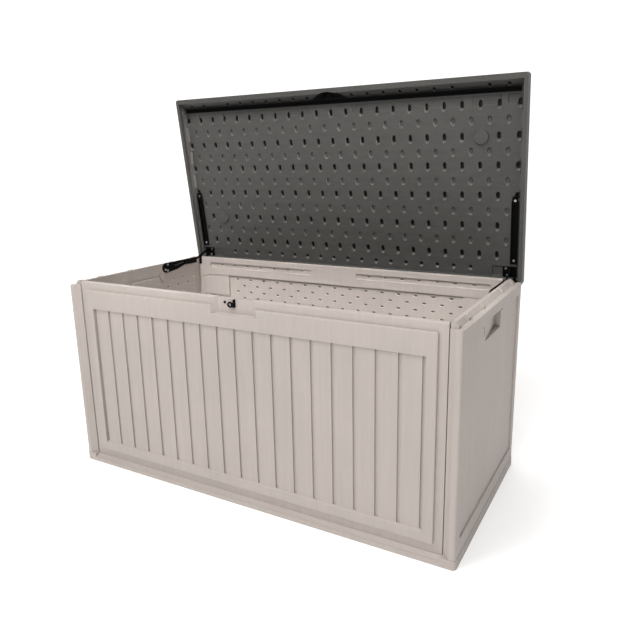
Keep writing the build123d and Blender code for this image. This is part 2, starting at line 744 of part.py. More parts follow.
def staple_slot(grow):
    """Room for the staple's root."""
    z0 = STEM_BOTTOM_Z + 4.0 - grow
    z1 = STEM_TOP_Z - 8.0 + grow
    y1 = -PANEL_IN_Y + BACKING_THICK + 1.0
    return block(STEM_X0 - grow, STEM_X1 + grow, -POCKET_BACK_Y - 0.5, y1, z0, z1)


def lock_staple_screw():
    """The screw from the pocket into the backing plate."""
    x, z = staple_screw_place()
    face = -POCKET_BACK_Y
    head = rod_y(face - SCREW_HEAD_H, face, x, z, SCREW_HEAD_R)
    return head + rod_y(face - 1.0, -PANEL_IN_Y + BACKING_THICK, x, z, SCREW_SHANK_R)


# ---------------------------------------------------------------- hinges
def leaf_screw_xs():
    """X of the screws that hold a body leaf."""
    return (731.0, 741.0)


def leaf_screw_z():
    """Height of the screws that hold a body leaf."""
    return 680.0


def body_leaf():
    """Hinge leaf on the side panel: plate in the rear notch, tongue, middle knuckle and wing."""
    y0 = NOTCH_Y
    y1 = NOTCH_Y + LEAF_THICK
    mid0 = KNUCKLE_X0 + 6.0
    mid1 = KNUCKLE_X1 - 6.0
    leaf = block(KNUCKLE_X0 - 1.0, KNUCKLE_X1, y0, y1, PLATE_Z0, PLATE_Z1)
    tongue = [
        (y0, PLATE_Z1 - 11.0),
        (y1, PLATE_Z1 - 11.0),
        (HINGE_Y + 5.6, HINGE_Z - 2.2),
        (HINGE_Y - 5.0, HINGE_Z + 3.2),
        (y1, PLATE_Z1),
        (y0, PLATE_Z1),
    ]
    leaf += prism_x(mid0, mid1, tongue)
    leaf += block(WING_X0, WING_X1, WING_Y0, y1, WING_Z0, WING_Z1)
    leaf += block(WING_X0, KNUCKLE_X0, y0, y1, WING_Z0 - 9.0, WING_Z0 + 1.0)
    leaf += rod_x(mid0, mid1, HINGE_Y, HINGE_Z, KNUCKLE_R)
    leaf -= rod_x(mid0 - 1, mid1 + 1, HINGE_Y, HINGE_Z, PIN_R + PIN_CLEARANCE)
    for x in leaf_screw_xs():
        leaf -= rod_y(y0 - 1, y1 + 1, x, leaf_screw_z(), SCREW_HOLE_R)
    return leaf


def body_leaf_screws():
    """The screws of the right body leaf."""
    face = NOTCH_Y + LEAF_THICK
    screws = []
    for x in leaf_screw_xs():
        head = rod_y(face, face + SCREW_HEAD_H, x, leaf_screw_z(), SCREW_HEAD_R)
        screws.append(head + rod_y(face - 16.0, face + 1.0, x, leaf_screw_z(), SCREW_SHANK_R))
    return screws


def hinge_pin():
    """Pin through the knuckles, tight in the lid leaf and free in the body leaf."""
    pin = rod_x(KNUCKLE_X0 - 0.5, KNUCKLE_X1 + 1.0, HINGE_Y, HINGE_Z, PIN_R)
    return pin + rod_x(KNUCKLE_X1 + 0.2, KNUCKLE_X1 + 1.8, HINGE_Y, HINGE_Z, PIN_R + 1.2)


def lid_leaf_screw_places():
    """(x, y) of the screws that hold the right lid leaf, closed."""
    return ((698.0, 315.0), (704.0, 341.0))


def lid_leaf():
    """Hinge leaf on the lid, closed: flange under the lid, upright, two knuckles, crank ear."""
    z1 = UNDERSIDE_Z
    z0 = UNDERSIDE_Z - LEAF_THICK
    lip_y = LID_BACK_Y - LIP_BACK
    plate_y1 = lip_y - 0.4
    plate_y0 = plate_y1 - LEAF_THICK
    flange_y1 = lip_y - SLOPE_BACK - 0.4
    leaf = block(LEAF_X0, LID_HALF_W - LIP_SIDE - SLOPE_SIDE - 1.0, LEAF_Y0, flange_y1, z0, z1)
    step_z = LID_RIM_Z + LIP_UPRIGHT - 1.0
    leaf += block(KNUCKLE_X0, KNUCKLE_X1, plate_y0, plate_y1, LEAF_FOOT_Z, step_z - 2.0)
    leaf += prism_x(
        KNUCKLE_X0,
        LID_HALF_W - LIP_SIDE - SLOPE_SIDE - 1.0,
        [
            (plate_y0 - 7.0, z0),
            (flange_y1 - 1.0, z0),
            (flange_y1, z0 + 1.0),
            (plate_y1, step_z - 2.0),
            (plate_y1, LEAF_FOOT_Z),
            (plate_y0, LEAF_FOOT_Z),
            (plate_y0, step_z - 2.0),
        ],
    )
    for x0 in (KNUCKLE_X0, KNUCKLE_X1 - 5.5):
        x1 = x0 + 5.5
        web = [
            (plate_y0, LEAF_FOOT_Z),
            (plate_y0, LEAF_FOOT_Z + 8.5),
            (plate_y1, LEAF_FOOT_Z + 8.5),
            (HINGE_Y, HINGE_Z + KNUCKLE_R),
            (HINGE_Y - KNUCKLE_R, HINGE_Z),
        ]
        leaf += prism_x(x0, x1, web)
        leaf += rod_x(x0, x1, HINGE_Y, HINGE_Z, KNUCKLE_R)
    leaf += prism_x(
        EAR_X0,
        EAR_X1,
        [
            (CRANK_Y - 8.0, CRANK_Z),
            (CRANK_Y + 8.0, CRANK_Z),
            (CRANK_Y + 12.0, z1 - 1.0),
            (CRANK_Y - 12.0, z1 - 1.0),
        ],
    )
    leaf += rod_x(EAR_X0, EAR_X1, CRANK_Y, CRANK_Z, 8.0)
    leaf -= rod_x(KNUCKLE_X0 - 1, KNUCKLE_X1 + 1, HINGE_Y, HINGE_Z, PIN_R + 0.01)
    leaf -= rod_x(EAR_X0 - 1, EAR_X1 + 1, CRANK_Y, CRANK_Z, CRANK_PIN_R + 0.01)
    for x, y in lid_leaf_screw_places():
        leaf -= rod_z(z0 - 1, z1 + 1, x, y, SCREW_HOLE_R)
    return leaf


def lid_leaf_screws():
    """The screws of the right lid leaf, closed."""
    z = UNDERSIDE_Z - LEAF_THICK
    return [screw_up(x, y, z) for x, y in lid_leaf_screw_places()]


def crank_pin():
    """Pin in the crank ear that drives the lift link, closed."""
    return rod_x(EAR_X0 - 0.8, LINK_X1 + 0.8, CRANK_Y, CRANK_Z, CRANK_PIN_R)


# ---------------------------------------------------------------- lid arms
def arm_screw_places():
    """(x, y) of the screws that hold the right lid arm, closed."""
    x = (ARM_X0 + ARM_X1) / 2
    return ((x, ARM_Y0 + 16.0), (x, ARM_Y1 - 14.0))


def lid_arm():
    """Steel channel along the side of the lid, closed, tapered at its front end."""
    z1 = UNDERSIDE_Z
    z0 = UNDERSIDE_Z - ARM_HEIGHT
    mid = (ARM_X0 + ARM_X1) / 2
    outline = [
        (ARM_X0, ARM_Y1),
        (ARM_X1, ARM_Y1),
        (ARM_X1, ARM_Y0 + 22.0),
        (mid + 7.0, ARM_Y0),
        (mid - 7.0, ARM_Y0),
        (ARM_X0, ARM_Y0 + 22.0),
    ]
    arm = prism_z(z0, z1, outline)
    arm -= block(ARM_X0 + ARM_WALL, ARM_X1 - ARM_WALL, ARM_Y0 + 30.0, ARM_Y1 + 1.0, z0 - 1.0, z1 - ARM_WALL)
    arm -= rod_z(z0 - 1.0, z1 - ARM_WALL, mid, ARM_Y0 + 16.0, 6.0)
    for x, y in arm_screw_places():
        arm -= rod_z(z0 - 1.0, z1 + 1.0, x, y, SCREW_HOLE_R)
    return arm


def lid_arm_screws():
    """The screws of the right lid arm, closed."""
    z = UNDERSIDE_Z - ARM_WALL
    return [screw_up(x, y, z) for x, y in arm_screw_places()]


# ---------------------------------------------------------------- lift linkage
def slider_y():
    """Place of the slider's middle along Y with the lid at its open stop."""
    pin_y, pin_z = opened_point(CRANK_Y, CRANK_Z)
    return pin_y - math.sqrt(LINK_LENGTH**2 - (pin_z - SLIDE_Z) ** 2)


def bracket_screw_places():
    """(y, z) of the screws that hold the right wall bracket."""
    return ((111.0, 729.0), (95.0, 709.0), (109.0, 703.0))


def bracket_outline():
    """(y, z) outline of the wall bracket: round nose, slimmer waist, square rear end."""
    points = []
    for degrees in range(95, 266, 10):
        turn = math.radians(degrees)
        y = BRACKET_NOSE_Y + BRACKET_NOSE_R * math.cos(turn)
        points.append((y, BRACKET_NOSE_Z + BRACKET_NOSE_R * math.sin(turn)))
    return points + list(BRACKET_LOWER_EDGE) + [(BRACKET_REAR_Y, BRACKET_TOP_Z)]


def wall_bracket():
    """Pressed-steel cover on the side panel's inner band, open at the rear and on top."""
    outline = bracket_outline()
    body = prism_x(BRACKET_X0, BRACKET_X0 + BRACKET_SKIN, outline)
    keep = block(BRACKET_X0, BAND_IN_X, 0.0, BRACKET_BLOCK_Y1, 0.0, BRACKET_TOP_Z + 1.0)
    body += prism_x(BRACKET_X0, BAND_IN_X, outline) & keep
    flange = []
    for y, z in BRACKET_LOWER_EDGE:
        flange.append((y, z))
    for y, z in reversed(BRACKET_LOWER_EDGE):
        flange.append((y, z + BRACKET_SKIN))
    body += prism_x(BRACKET_X0, BAND_IN_X, flange)
    half = WINDOW_HALF_W
    window = [(157.0, 719.5 - half), (217.0, 725.5 - half), (217.0, 725.5 + half), (157.0, 719.5 + half)]
    body -= prism_x(BRACKET_X0 - 1.0, BRACKET_X0 + BRACKET_SKIN + 1.0, window)
    for y, z in bracket_screw_places():
        body -= rod_x(BRACKET_X0 - 1.0, BAND_IN_X + 1.0, y, z, SCREW_HOLE_R)
    return body


def bracket_screws():
    """The screws of the right wall bracket, heads towards the inside of the box."""
    screws = []
    for y, z in bracket_screw_places():
        head = rod_x(BRACKET_X0 - SCREW_HEAD_H, BRACKET_X0, y, z, SCREW_HEAD_R)
        screws.append(head + rod_x(BRACKET_X0 - 1.0, BAND_IN_X + 14.0, y, z, SCREW_SHANK_R))
    return screws


def lift_link():
    """Flat link from the crank pin to the slider, at the open stop."""
    pin_y, pin_z = opened_point(CRANK_Y, CRANK_Z)
    low_y = slider_y()
    half = LINK_WIDTH / 2
    length = LINK_LENGTH
    side_y = -(SLIDE_Z - pin_z) / length * half
    side_z = (low_y - pin_y) / length * half
    flat = [
        (pin_y + side_y, pin_z + side_z),
        (low_y + side_y, SLIDE_Z + side_z),
        (low_y - side_y, SLIDE_Z - side_z),
        (pin_y - side_y, pin_z - side_z),
    ]
    bar = prism_x(LINK_X0, LINK_X1, flat)
    bar += rod_x(LINK_X0, LINK_X1, pin_y, pin_z, half + 1.5)
    bar += rod_x(LINK_X0, LINK_X1, low_y, SLIDE_Z, half)
    bar -= rod_x(LINK_X0 - 1, LINK_X1 + 1, pin_y, pin_z, CRANK_PIN_R + PIN_CLEARANCE)
    return bar


def slider():
    """Block that the link pushes along the bracket, at the open stop."""
    y = slider_y()
    z0 = SLIDE_Z - SLIDER_HALF_H
    z1 = SLIDE_Z + SLIDER_HALF_H
    body = block(SLIDER_X0, SLIDER_X1, y - SLIDER_HALF_L, y + SLIDER_HALF_L, z0, z1)
    return chamfer(body.edges().filter_by(Axis.Z), 1.5)


def lift_spring():
    """Compression spring between the front end of the groove and the slider."""
    y0 = SLOT_Y0 + SPRING_SEAT
    y1 = slider_y() - SLIDER_HALF_L - SPRING_SEAT
    height = y1 - y0 - 2 * SPRING_WIRE_R
    pitch = height / SPRING_TURNS
    path = Helix(pitch=pitch, height=height, radius=SPRING_R)
    section = Plane(path @ 0, z_dir=path % 0) * Circle(SPRING_WIRE_R)
    coil = sweep(section, path=path, is_frenet=True)
    x = (SLIDER_X0 + SLIDER_X1) / 2
    return Pos(x, y0 + SPRING_WIRE_R, SLIDE_Z) * Rot(-90, 0, 0) * coil


def with_mirror(shapes):
    """The shapes and their mirror images."""
    return list(shapes) + [other_side(s) for s in shapes]


# ---------------------------------------------------------------- write everything
os.makedirs("parts", exist_ok=True)

write("base_panel", base_panel())
write("front_panel", front_panel())
write("back_panel", back_panel())
write_pair("side_panel", side_panel())
write("corner_strips", group([corner_strip(sx, sy) for sx, sy in corners()]))
write("corner_strip_screws", group([s for sx, sy in corners() for s in strip_screws(sx, sy)]))

write("lock_staple", lock_staple())
write("lock_backing_plate", lock_backing())
write("lock_staple_screw", lock_staple_screw())

write("lid_panel", opened(lid_panel()))
write("lid_bar", opened(lid_bar()))
write("lid_bar_screws", group([opened(s) for s in lid_bar_screws()]))
write("lid_catch", opened(lid_catch()))
write("lid_catch_screws", group([opened(s) for s in lid_catch_screws()]))
write("lid_hasp", opened(lid_hasp()))
write_pair("lid_arm", opened(lid_arm()))
write("lid_arm_screws", group(with_mirror([opened(s) for s in lid_arm_screws()])))

write_pair("body_hinge_leaf", body_leaf())
write("body_hinge_screws", group(with_mirror(body_leaf_screws())))
write_pair("lid_hinge_leaf", opened(lid_leaf()))
write("lid_hinge_screws", group(with_mirror([opened(s) for s in lid_leaf_screws()])))
write_pair("hinge_pin", opened(hinge_pin()))
write_pair("crank_pin", opened(crank_pin()))

write_pair("wall_bracket", wall_bracket())
write("wall_bracket_screws", group(with_mirror(bracket_screws())))
write_pair("lift_link", lift_link())
write_pair("lift_slider", slider())
write_pair("lift_spring", lift_spring())
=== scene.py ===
import json
import math
from collections import namedtuple

import bmesh
import bpy
from mathutils import Matrix, Vector

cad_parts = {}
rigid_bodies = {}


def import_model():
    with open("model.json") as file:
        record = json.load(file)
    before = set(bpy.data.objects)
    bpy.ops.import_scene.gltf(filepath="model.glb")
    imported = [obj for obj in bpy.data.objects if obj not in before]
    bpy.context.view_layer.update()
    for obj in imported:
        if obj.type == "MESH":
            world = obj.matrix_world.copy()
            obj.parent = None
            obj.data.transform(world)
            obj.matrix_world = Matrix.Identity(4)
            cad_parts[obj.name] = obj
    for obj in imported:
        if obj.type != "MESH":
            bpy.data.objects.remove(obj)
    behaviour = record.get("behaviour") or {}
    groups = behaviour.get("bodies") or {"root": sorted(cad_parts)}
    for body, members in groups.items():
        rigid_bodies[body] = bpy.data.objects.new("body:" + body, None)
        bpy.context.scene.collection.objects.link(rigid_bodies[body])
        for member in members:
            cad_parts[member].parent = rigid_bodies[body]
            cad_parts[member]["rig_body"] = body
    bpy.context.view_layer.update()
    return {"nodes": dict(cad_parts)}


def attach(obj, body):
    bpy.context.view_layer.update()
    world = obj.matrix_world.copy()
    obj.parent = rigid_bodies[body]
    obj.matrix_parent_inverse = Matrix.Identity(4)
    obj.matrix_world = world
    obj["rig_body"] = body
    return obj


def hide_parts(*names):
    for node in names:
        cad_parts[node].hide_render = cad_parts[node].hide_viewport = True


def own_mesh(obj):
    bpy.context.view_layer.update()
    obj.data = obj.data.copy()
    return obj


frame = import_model()
nodes = frame["nodes"]

SOLVER = "MANIFOLD"

# All lengths of the object are in millimetres. The lid is described closed and turned to its open
# stop, which is the rest pose. A length along the lid runs from the hinge side to the front.
MM = 0.001
HINGE = Vector((0.0, 366.4, 706.8))
LID_OPEN = 82.84
UNDERSIDE_Z = 753.3
LID_Y_AT_LENGTH_0 = 353.6

# A moulded pocket: half sizes, depth, width of the rounded mouth, how steep its lower end is
# (1 is upright), and whether its whole deep part takes the painted shade or only the upper half of it.
Dimple = namedtuple("Dimple", "half_width half_height depth mouth steep dark")

# Lid, underside
COLUMN_PITCH = 66.2
DARK_ROWS = (85.0, 195.0, 307.0, 415.0, 518.0, 628.0)
LIGHT_ROWS = (33.0, 140.0, 251.0, 361.0, 466.0, 574.0)
DARK_DIMPLE = Dimple(7.0, 15.5, 14.0, 2.8, 0.45, True)
LIGHT_DIMPLE = Dimple(6.8, 13.5, 5.2, 2.6, 0.3, False)
HINGE_SIDE_DIMPLE = Dimple(6.8, 9.0, 9.0, 2.6, 0.3, True)
HINGE_SIDE_REACH_X = 620.0
OUTER_DIMPLE = Dimple(9.0, 15.0, 14.0, 2.6, 0.45, True)
OUTER_DIMPLE_X = 733.0
OUTER_DIMPLE_FROM = 300.0
BOSSES = ((600.0, 518.0), (-600.0, 195.0))
BOSS_R = 26.0
BOSS_HEIGHT = 7.5
BOSS_NIPPLE_R = 3.4
BOSS_NIPPLE_HEIGHT = 9.5
BOSS_CLEARANCE = 30.0
BAR_CHANNEL_LENGTHS = (627.0, 657.0)
BAR_CHANNEL_SPANS = ((92.0, 534.0), (566.0, 668.0), (692.0, 735.0))
BAR_CHANNEL_DEPTH = 3.5
HINGE_SEAT_LENGTHS = (8.0, 45.0)
HINGE_SEAT_SPAN = (646.0, 685.0)
HINGE_SEAT_DEPTH = 4.5
HINGE_RIB_PLACE = (349.5, 741.0)
HINGE_RIB_HALF = (10.0, 5.5)
HINGE_RIB_HEIGHT = 4.0

# Lid, side and front lips
LIP_PANELS = ((326.0, 396.0), (434.0, 500.0), (537.0, 610.0))
LIP_PANEL_LOW = (749.3, 738.0)
LIP_PANEL_HIGH = (736.5, 754.0)
LIP_PANEL_INSET = 4.0
LIP_PANEL_TAPER = 4.0
LIP_NOTCH = Dimple(6.0, 8.5, 10.0, 1.2, 0.8, True)
LIP_NOTCH_PLACE = (-336.5, 748.35)
LIP_SLOPE_RUN = 16.0
LIP_SLOPE_RISE = 21.0
CATCH_REACH_X = 75.0
BAR_JOINT_X = 563.0
BAR_JOINT_REACH = 20.0

# Long walls, inner face
WALL_IN_Y = 330.0
WALL_LOW_Z = 62.0
WALL_DIMPLE_LOW_Z = 90.0
WALL_DIMPLE_HIGH_Z = 640.0
WALL_PITCH = 72.6
WALL_ROW_PITCH = 28.6
BAND_LOW_Z = 655.0
FIELD_X = (-549.0, 560.0)
FIELD_DEPTH = 8.0
FIELD_MARGIN = 9.0
FIELD_DIMPLE_OFFSET = 4.0
SHALLOW_DIMPLE = Dimple(8.6, 4.2, 5.0, 1.3, 0.8, True)
DEEP_DIMPLE = Dimple(8.6, 4.2, 6.6, 1.3, 0.8, True)
POST_SPANS = ((-700.0, -674.0), (677.0, 700.0))
POST_RECESS_DEPTH = 3.0
POST_RECESS_HIGH_Z = 645.0
END_SPANS = ((-668.0, -555.0), (566.0, 671.0))
END_HIGH_Z = 560.0
END_DEPTH = 5.0
LEDGE_LOW_Z = 650.0
LEDGE_DEPTH = 4.0
END_DIMPLE = Dimple(8.6, 4.2, 6.0, 1.3, 0.8, True)
END_DIMPLE_X = (-599.0, 606.0)
END_DIMPLE_Z = (634.0, 589.0)
SLOTS = (((-650.0, -105.0), -589.0), ((110.0, 661.0), 164.0))
SLOT_Z = (689.0, 710.0)
SLOT_DEPTH = 6.0
SLOT_DIMPLE = Dimple(8.0, 3.0, 5.5, 1.0, 0.8, True)
SLOT_DIMPLE_Z = 702.0
SLOT_DIMPLE_PITCH = 72.4
SLOT_DIMPLES = 7

# Side walls, inner face
SIDE_IN_X = 726.0
LIP_IN_X = 728.0
SIDE_HIGH_Z = 655.0
SIDE_LOW_Z = 70.0
SIDE_ROW_PITCH = 29.0
SIDE_PITCH = 66.0
SIDE_DIMPLE_OFFSET = 20.0
SIDE_REACH_Y = (-290.0, 285.0)
SIDE_DEEP_DIMPLE = Dimple(6.0, 4.4, 8.0, 1.8, 0.4, True)
SIDE_SHALLOW_DIMPLE = Dimple(6.0, 4.4, 5.0, 1.8, 0.4, False)
LIP_HOLE_Y = (176.0, 190.0, 330.0, 318.0)
LIP_HOLE_Z = 735.0
LIP_HOLE_R = 1.6
LIP_HOLE_DEPTH = 6.0
PAD_Y = (-100.0, 62.0)
PAD_Z = (636.0, 681.0)
PAD_HEIGHT = 7.0
PAD_FREE_Y = (-112.0, 80.0)
PAD_FREE_Z = 625.0
DISC_R = 17.0
DISCS = ((-139.0, 688.0, 8.0), (80.0, 684.0, 8.5))
STUD_Y = 300.0
STUD_HIGH_Z = 665.0
STUDS = 14
STUD_HALF = (7.0, 8.0)
STUD_HEIGHT = 3.5

# Floor
FLOOR_TOP_Z = 26.0
FLOOR_ROW_PITCH = 88.0
FLOOR_POCKET_R = 11.0
FLOOR_POCKET_DEPTH = 7.0
FLOOR_REACH_X = 680.0

# Lift springs
SPRING_X = 723.7
SPRING_FRONT_Y = 116.8
SPRING_Z = 722.0
SPRING_LENGTH = 162.6
COIL_R = 2.9
WIRE_R = 0.6
TURNS = 27
END_TURNS = 2
END_PITCH_SHARE = 0.35

# Colours, as linear RGB
BODY_COLOUR = (0.478, 0.426, 0.393)
LID_COLOUR = (0.0775, 0.0748, 0.0702)
# Darker and lighter copies of each plastic, as shares of its colour: painted shade in the deep ends of
# pockets, painted highlight on rounded edges and lower lips.
PAINTED_SHADE_SHARE = {"body_plastic": 0.30, "lid_plastic": 0.16}
PAINTED_HIGHLIGHT_SHARE = {"body_plastic": 1.22, "lid_plastic": 1.7}

# Studio: lengths in metres, powers in watts, angles in degrees
FLOOR_HALF = 14.0
BACKDROP = 1.15
BEHIND_STRENGTH = 1.18
FRONT_LOW = 0.25
FRONT_HIGH = 1.3
LEFT_SHARE = 0.3
RIGHT_SHARE = 0.07
CAMERA_PLACE = (1.1943, -1.8871, 1.15775)
CAMERA_TURN = (76.698, 0.917, 28.883)
CAMERA_LENS = 34.17
CAMERA_SHIFT = (-0.00745, -0.0210)


# ------------------------------------------------------------------ mesh helpers
class Parts:
    """Vertices and faces of several closed shapes, in millimetres."""

    def __init__(self):
        self.verts = []
        self.faces = []
        self.slots = []

    def add(self, verts, faces, slots=None):
        start = len(self.verts)
        self.verts.extend(verts)
        self.faces.extend([tuple(i + start for i in f) for f in faces])
        self.slots.extend(slots if slots is not None else [0] * len(faces))

    def mesh(self, name, place=None, flip_x=False):
        """A mesh in metres, with outward normals."""
        points = [Vector(v) for v in self.verts]
        if place is not None:
            points = [place @ p for p in points]
        if flip_x:
            points = [Vector((-p.x, p.y, p.z)) for p in points]
        mesh = bpy.data.meshes.new(name)
        mesh.from_pydata([tuple(p * MM) for p in points], [], self.faces)
        mesh.polygons.foreach_set("material_index", self.slots)
        tidy = bmesh.new()
        tidy.from_mesh(mesh)
        bmesh.ops.recalc_face_normals(tidy, faces=tidy.faces)
        tidy.to_mesh(mesh)
        tidy.free()
        return mesh


def outline(half_u, half_v, count, power):
    """Points of a superellipse: power 2 is an ellipse, a higher power a squarer shape."""
    points = []
    for k in range(count):
        turn = 2 * math.pi * (k + 0.5) / count
        c = math.cos(turn)
        s = math.sin(turn)
        u = half_u * math.copysign(abs(c) ** (2 / power), c)
        v = half_v * math.copysign(abs(s) ** (2 / power), s)
        points.append((u, v))
    return points


def rounded_rectangle(half_u, half_v, radius, steps=4):
    """Points of a rectangle with round corners, round the origin."""
    points = []
    corners = ((1, 1, 0), (-1, 1, 90), (-1, -1, 180), (1, -1, 270))
    for su, sv, start in corners:
        for k in range(steps + 1):
            turn = math.radians(start + 90 * k / steps)
            u = su * (half_u - radius) + radius * math.cos(turn)
            v = sv * (half_v - radius) + radius * math.sin(turn)
            points.append((u, v))
    return points


def tube_faces(rings, count):
    """Faces between rings of equally many points, and the two end faces."""
    faces = []
    for ring in range(rings - 1):
        for k in range(count):
            a = ring * count + k
            b = ring * count + (k + 1) % count
            faces.append((a, b, b + count, a + count))
    faces.append(tuple(reversed(range(count))))
    faces.append(tuple(range((rings - 1) * count, rings * count)))
    return faces


def stack(parts, centre, axes, rings, slots=None):
    """A closed solid between rings; each ring is its height along the third axis and its points."""
    centre = Vector(centre)
    u, v, n = (Vector(a) for a in axes)
    verts = []
    for height, points in rings:
        verts += [centre + u * a + v * b + n * height for a, b in points]
    parts.add(verts, tube_faces(len(rings), len(rings[0][1])), slots)


def round_solid(parts, centre, axes, half_sizes, profile, count, power=2.6):
    """A solid with a round outline; the profile is its heights and how much its half sizes grow."""
    rings = []
    for height, growth in profile:
        half_u, half_v = (max(half + growth, 0.2) for half in half_sizes)
        rings.append((height, outline(half_u, half_v, count, power)))
    stack(parts, centre, axes, rings)


def box_solid(parts, x_span, y_span, z_span, n, profile, corner=4.0):
    """A rounded box on the face with normal n: a cutter or a pad. Two spans are its outline."""
    spans = (x_span, y_span, z_span)
    centre = [(low + high) / 2 for low, high in spans]
    flat = [axis for axis in range(3) if abs(n[axis]) < 0.5]
    axes = [tuple(1 if k == axis else 0 for k in range(3)) for axis in flat]
    half_sizes = [(spans[axis][1] - spans[axis][0]) / 2 for axis in flat]
    rings = []
    for height, growth in profile:
        half_u, half_v = (max(half + growth, 0.2) for half in half_sizes)
        radius = min(max(corner + growth, 0.3), half_u, half_v)
        rings.append((height, rounded_rectangle(half_u, half_v, radius)))
    stack(parts, centre, (*axes, n), rings)


def pocket(parts, centre, axes, dimple, count):
    """A moulded pocket cut into a face. The axes point across it, to its lower end and out of the
    face. The lower end slopes up to the mouth and the other walls are steep. The deep part takes
    the second material slot, a darker tone that is painted shade, and the lower lip the third, a
    lighter tone that is painted highlight."""
    half_u, half_v, depth, mouth, steep, dark = dimple
    run = min(depth, 1.1 * half_v) * (1 - steep)
    sections = (
        # height, half width, upper reach, lower reach
        (1.5, half_u + 1.5 * mouth, half_v + 1.5 * mouth, half_v + 1.7 * mouth),
        (0.0, half_u + 0.8 * mouth, half_v + 0.6 * mouth, half_v + 0.9 * mouth),
        (-0.45 * mouth, half_u + 0.2 * mouth, half_v + 0.1 * mouth, half_v + 0.2 * mouth),
        (-mouth, half_u, half_v, half_v - 0.2 * mouth),
        (-0.60 * depth, half_u - 0.6, half_v - 0.5, half_v - 0.8 * run),
        (-0.90 * depth, half_u - 1.2, half_v - 1.0, half_v - run),
        (-depth, half_u - 2.2, half_v - 2.0, half_v - run - 1.2),
    )
    rings = []
    for height, half_width, upper, lower in sections:
        lower = max(lower, 0.6 - upper)
        shift = (lower - upper) / 2
        points = outline(max(half_width, 0.6), (upper + lower) / 2, count, 2.6)
        rings.append((height, [(a, b + shift) for a, b in points]))
    # Slot 1 is painted shade on the deep, shaded part; slot 2 is painted highlight on the lower lip,
    # which faces up to the light.
    slots = []
    for ring, (_, points) in enumerate(rings[:-1]):
        for _, b in points:
            down_share = b / half_v
            if ring >= 4 and (dark or down_share < -0.2):
                slots.append(1)
            elif down_share > 0.35 and (1 <= ring <= 3 or not dark):
                slots.append(2)
            else:
                slots.append(0)
    slots += [0, 1 if dark else 0]
    stack(parts, centre, axes, rings, slots)


def hole_profile(depth, mouth=2.4, draft=1.6):
    """A hole cut into a face: rounded mouth, drafted wall, rounded floor."""
    return [
        (-depth, -draft - 2.2),
        (-depth + 1.0, -draft - 0.6),
        (-depth + 2.4, -draft),
        (-mouth, 0.0),
        (-0.4 * mouth, 0.25 * mouth),
        (0.0, 0.8 * mouth),
        (1.5, 1.6 * mouth),
    ]


def recess_profile(depth, edge=1.6, draft=0.8):
    """A wide shallow recess with softened edges."""
    return [
        (-depth, -draft - 0.8),
        (-depth + 0.8, -draft),
        (-edge, 0.0),
        (-0.3 * edge, 0.3 * edge),
        (0.0, 0.8 * edge),
        (1.5, 1.8 * edge),
    ]


def pad_profile(height, edge=1.8, draft=1.0):
    """A raised pad with softened top edges."""
    return [
        (-1.0, draft + 0.6),
        (0.0, draft + 0.6),
        (0.5, draft),
        (height - edge, 0.0),
        (height - 0.3 * edge, -0.3 * edge),
        (height, -edge),
    ]


def add_object(name, mesh):
    obj = bpy.data.objects.new(name, mesh)
    bpy.context.scene.collection.objects.link(obj)
    return obj


def clean_copy(source, place, cells):
    """A node's mesh without split vertices and needless edges, its large flats divided by cells."""
    mesh = source.data.copy()
    tidy = bmesh.new()
    tidy.from_mesh(mesh)
    bmesh.ops.remove_doubles(tidy, verts=tidy.verts, dist=2e-5)
    bmesh.ops.dissolve_limit(tidy, angle_limit=math.radians(0.4), verts=tidy.verts, edges=tidy.edges)
    for point, normal in cells:
        point = Vector(point)
        normal = Vector(normal)
        if place is not None:
            point = place @ point
            normal = place.to_3x3() @ normal
        everything = list(tidy.verts) + list(tidy.edges) + list(tidy.faces)
        bmesh.ops.bisect_plane(tidy, geom=everything, dist=1e-6, plane_co=point * MM, plane_no=normal)
    tidy.to_mesh(mesh)
    tidy.free()
    mesh.materials.clear()
    return mesh


def carve(node, tones, cut_groups, adds=None, place=None, flip_x=False, bevel=1.2, cells=()):
    """A detailed copy of a CAD node, which it stands for: softened edges, pockets cut in, pads added.

    The shapes of one group of cutters don't touch each other; the groups are cut one after another.
    Cells are (point, normal) planes that divide the large flats, so that each field has one pocket."""
    source = nodes[node]
    work = add_object(node + "_work", clean_copy(source, place, cells))
    dress(work, *tones)
    # The rounded edges take the third slot, the lighter tone: painted highlight.
    soften(work, bevel, 2)
    cutters = []
    for cuts in cut_groups:
        cutter = add_object(node + "_cutter", cuts.mesh(node + "_cutter", place, flip_x))
        dress(cutter, *tones)
        cut = work.modifiers.new("pockets", "BOOLEAN")
        cut.operation = "DIFFERENCE"
        cut.solver = SOLVER
        cut.object = cutter
        cutters.append(cutter)
    result = bpy.data.meshes.new_from_object(work.evaluated_get(bpy.context.evaluated_depsgraph_get()))
    for leftover in [work] + cutters:
        bpy.data.objects.remove(leftover)
    if adds is not None:
        merged = bmesh.new()
        merged.from_mesh(result)
        merged.from_mesh(adds.mesh(node + "_pads", place, flip_x))
        merged.to_mesh(result)
        merged.free()
    flat_shading(result, place)
    result.name = node + "_detail"
    obj = add_object(node + "_detail", result)
    dress(obj, *tones)
    flatten = obj.modifiers.new("flat_faces", "WEIGHTED_NORMAL")
    flatten.mode = "FACE_AREA"
    flatten.weight = 60
    flatten.keep_sharp = True
    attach(obj, source["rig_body"])
    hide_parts(node)


def flat_shading(mesh, place):
    """Smooth shading that keeps every face square to the axes flat up to its border."""
    axes = [Vector((1, 0, 0)), Vector((0, 1, 0)), Vector((0, 0, 1))]
    if place is not None:
        turn = place.to_3x3()
        axes = [turn @ a for a in axes]
    work = bmesh.new()
    work.from_mesh(mesh)
    for face in work.faces:
        face.smooth = True
        face.tag = any(abs(face.normal.dot(a)) > 0.99995 for a in axes)
    for edge in work.edges:
        if len(edge.link_faces) == 2:
            beside_flat = edge.link_faces[0].tag or edge.link_faces[1].tag
            edge.smooth = edge.calc_face_angle(0.0) < math.radians(8 if beside_flat else 30)
    work.to_mesh(mesh)
    work.free()


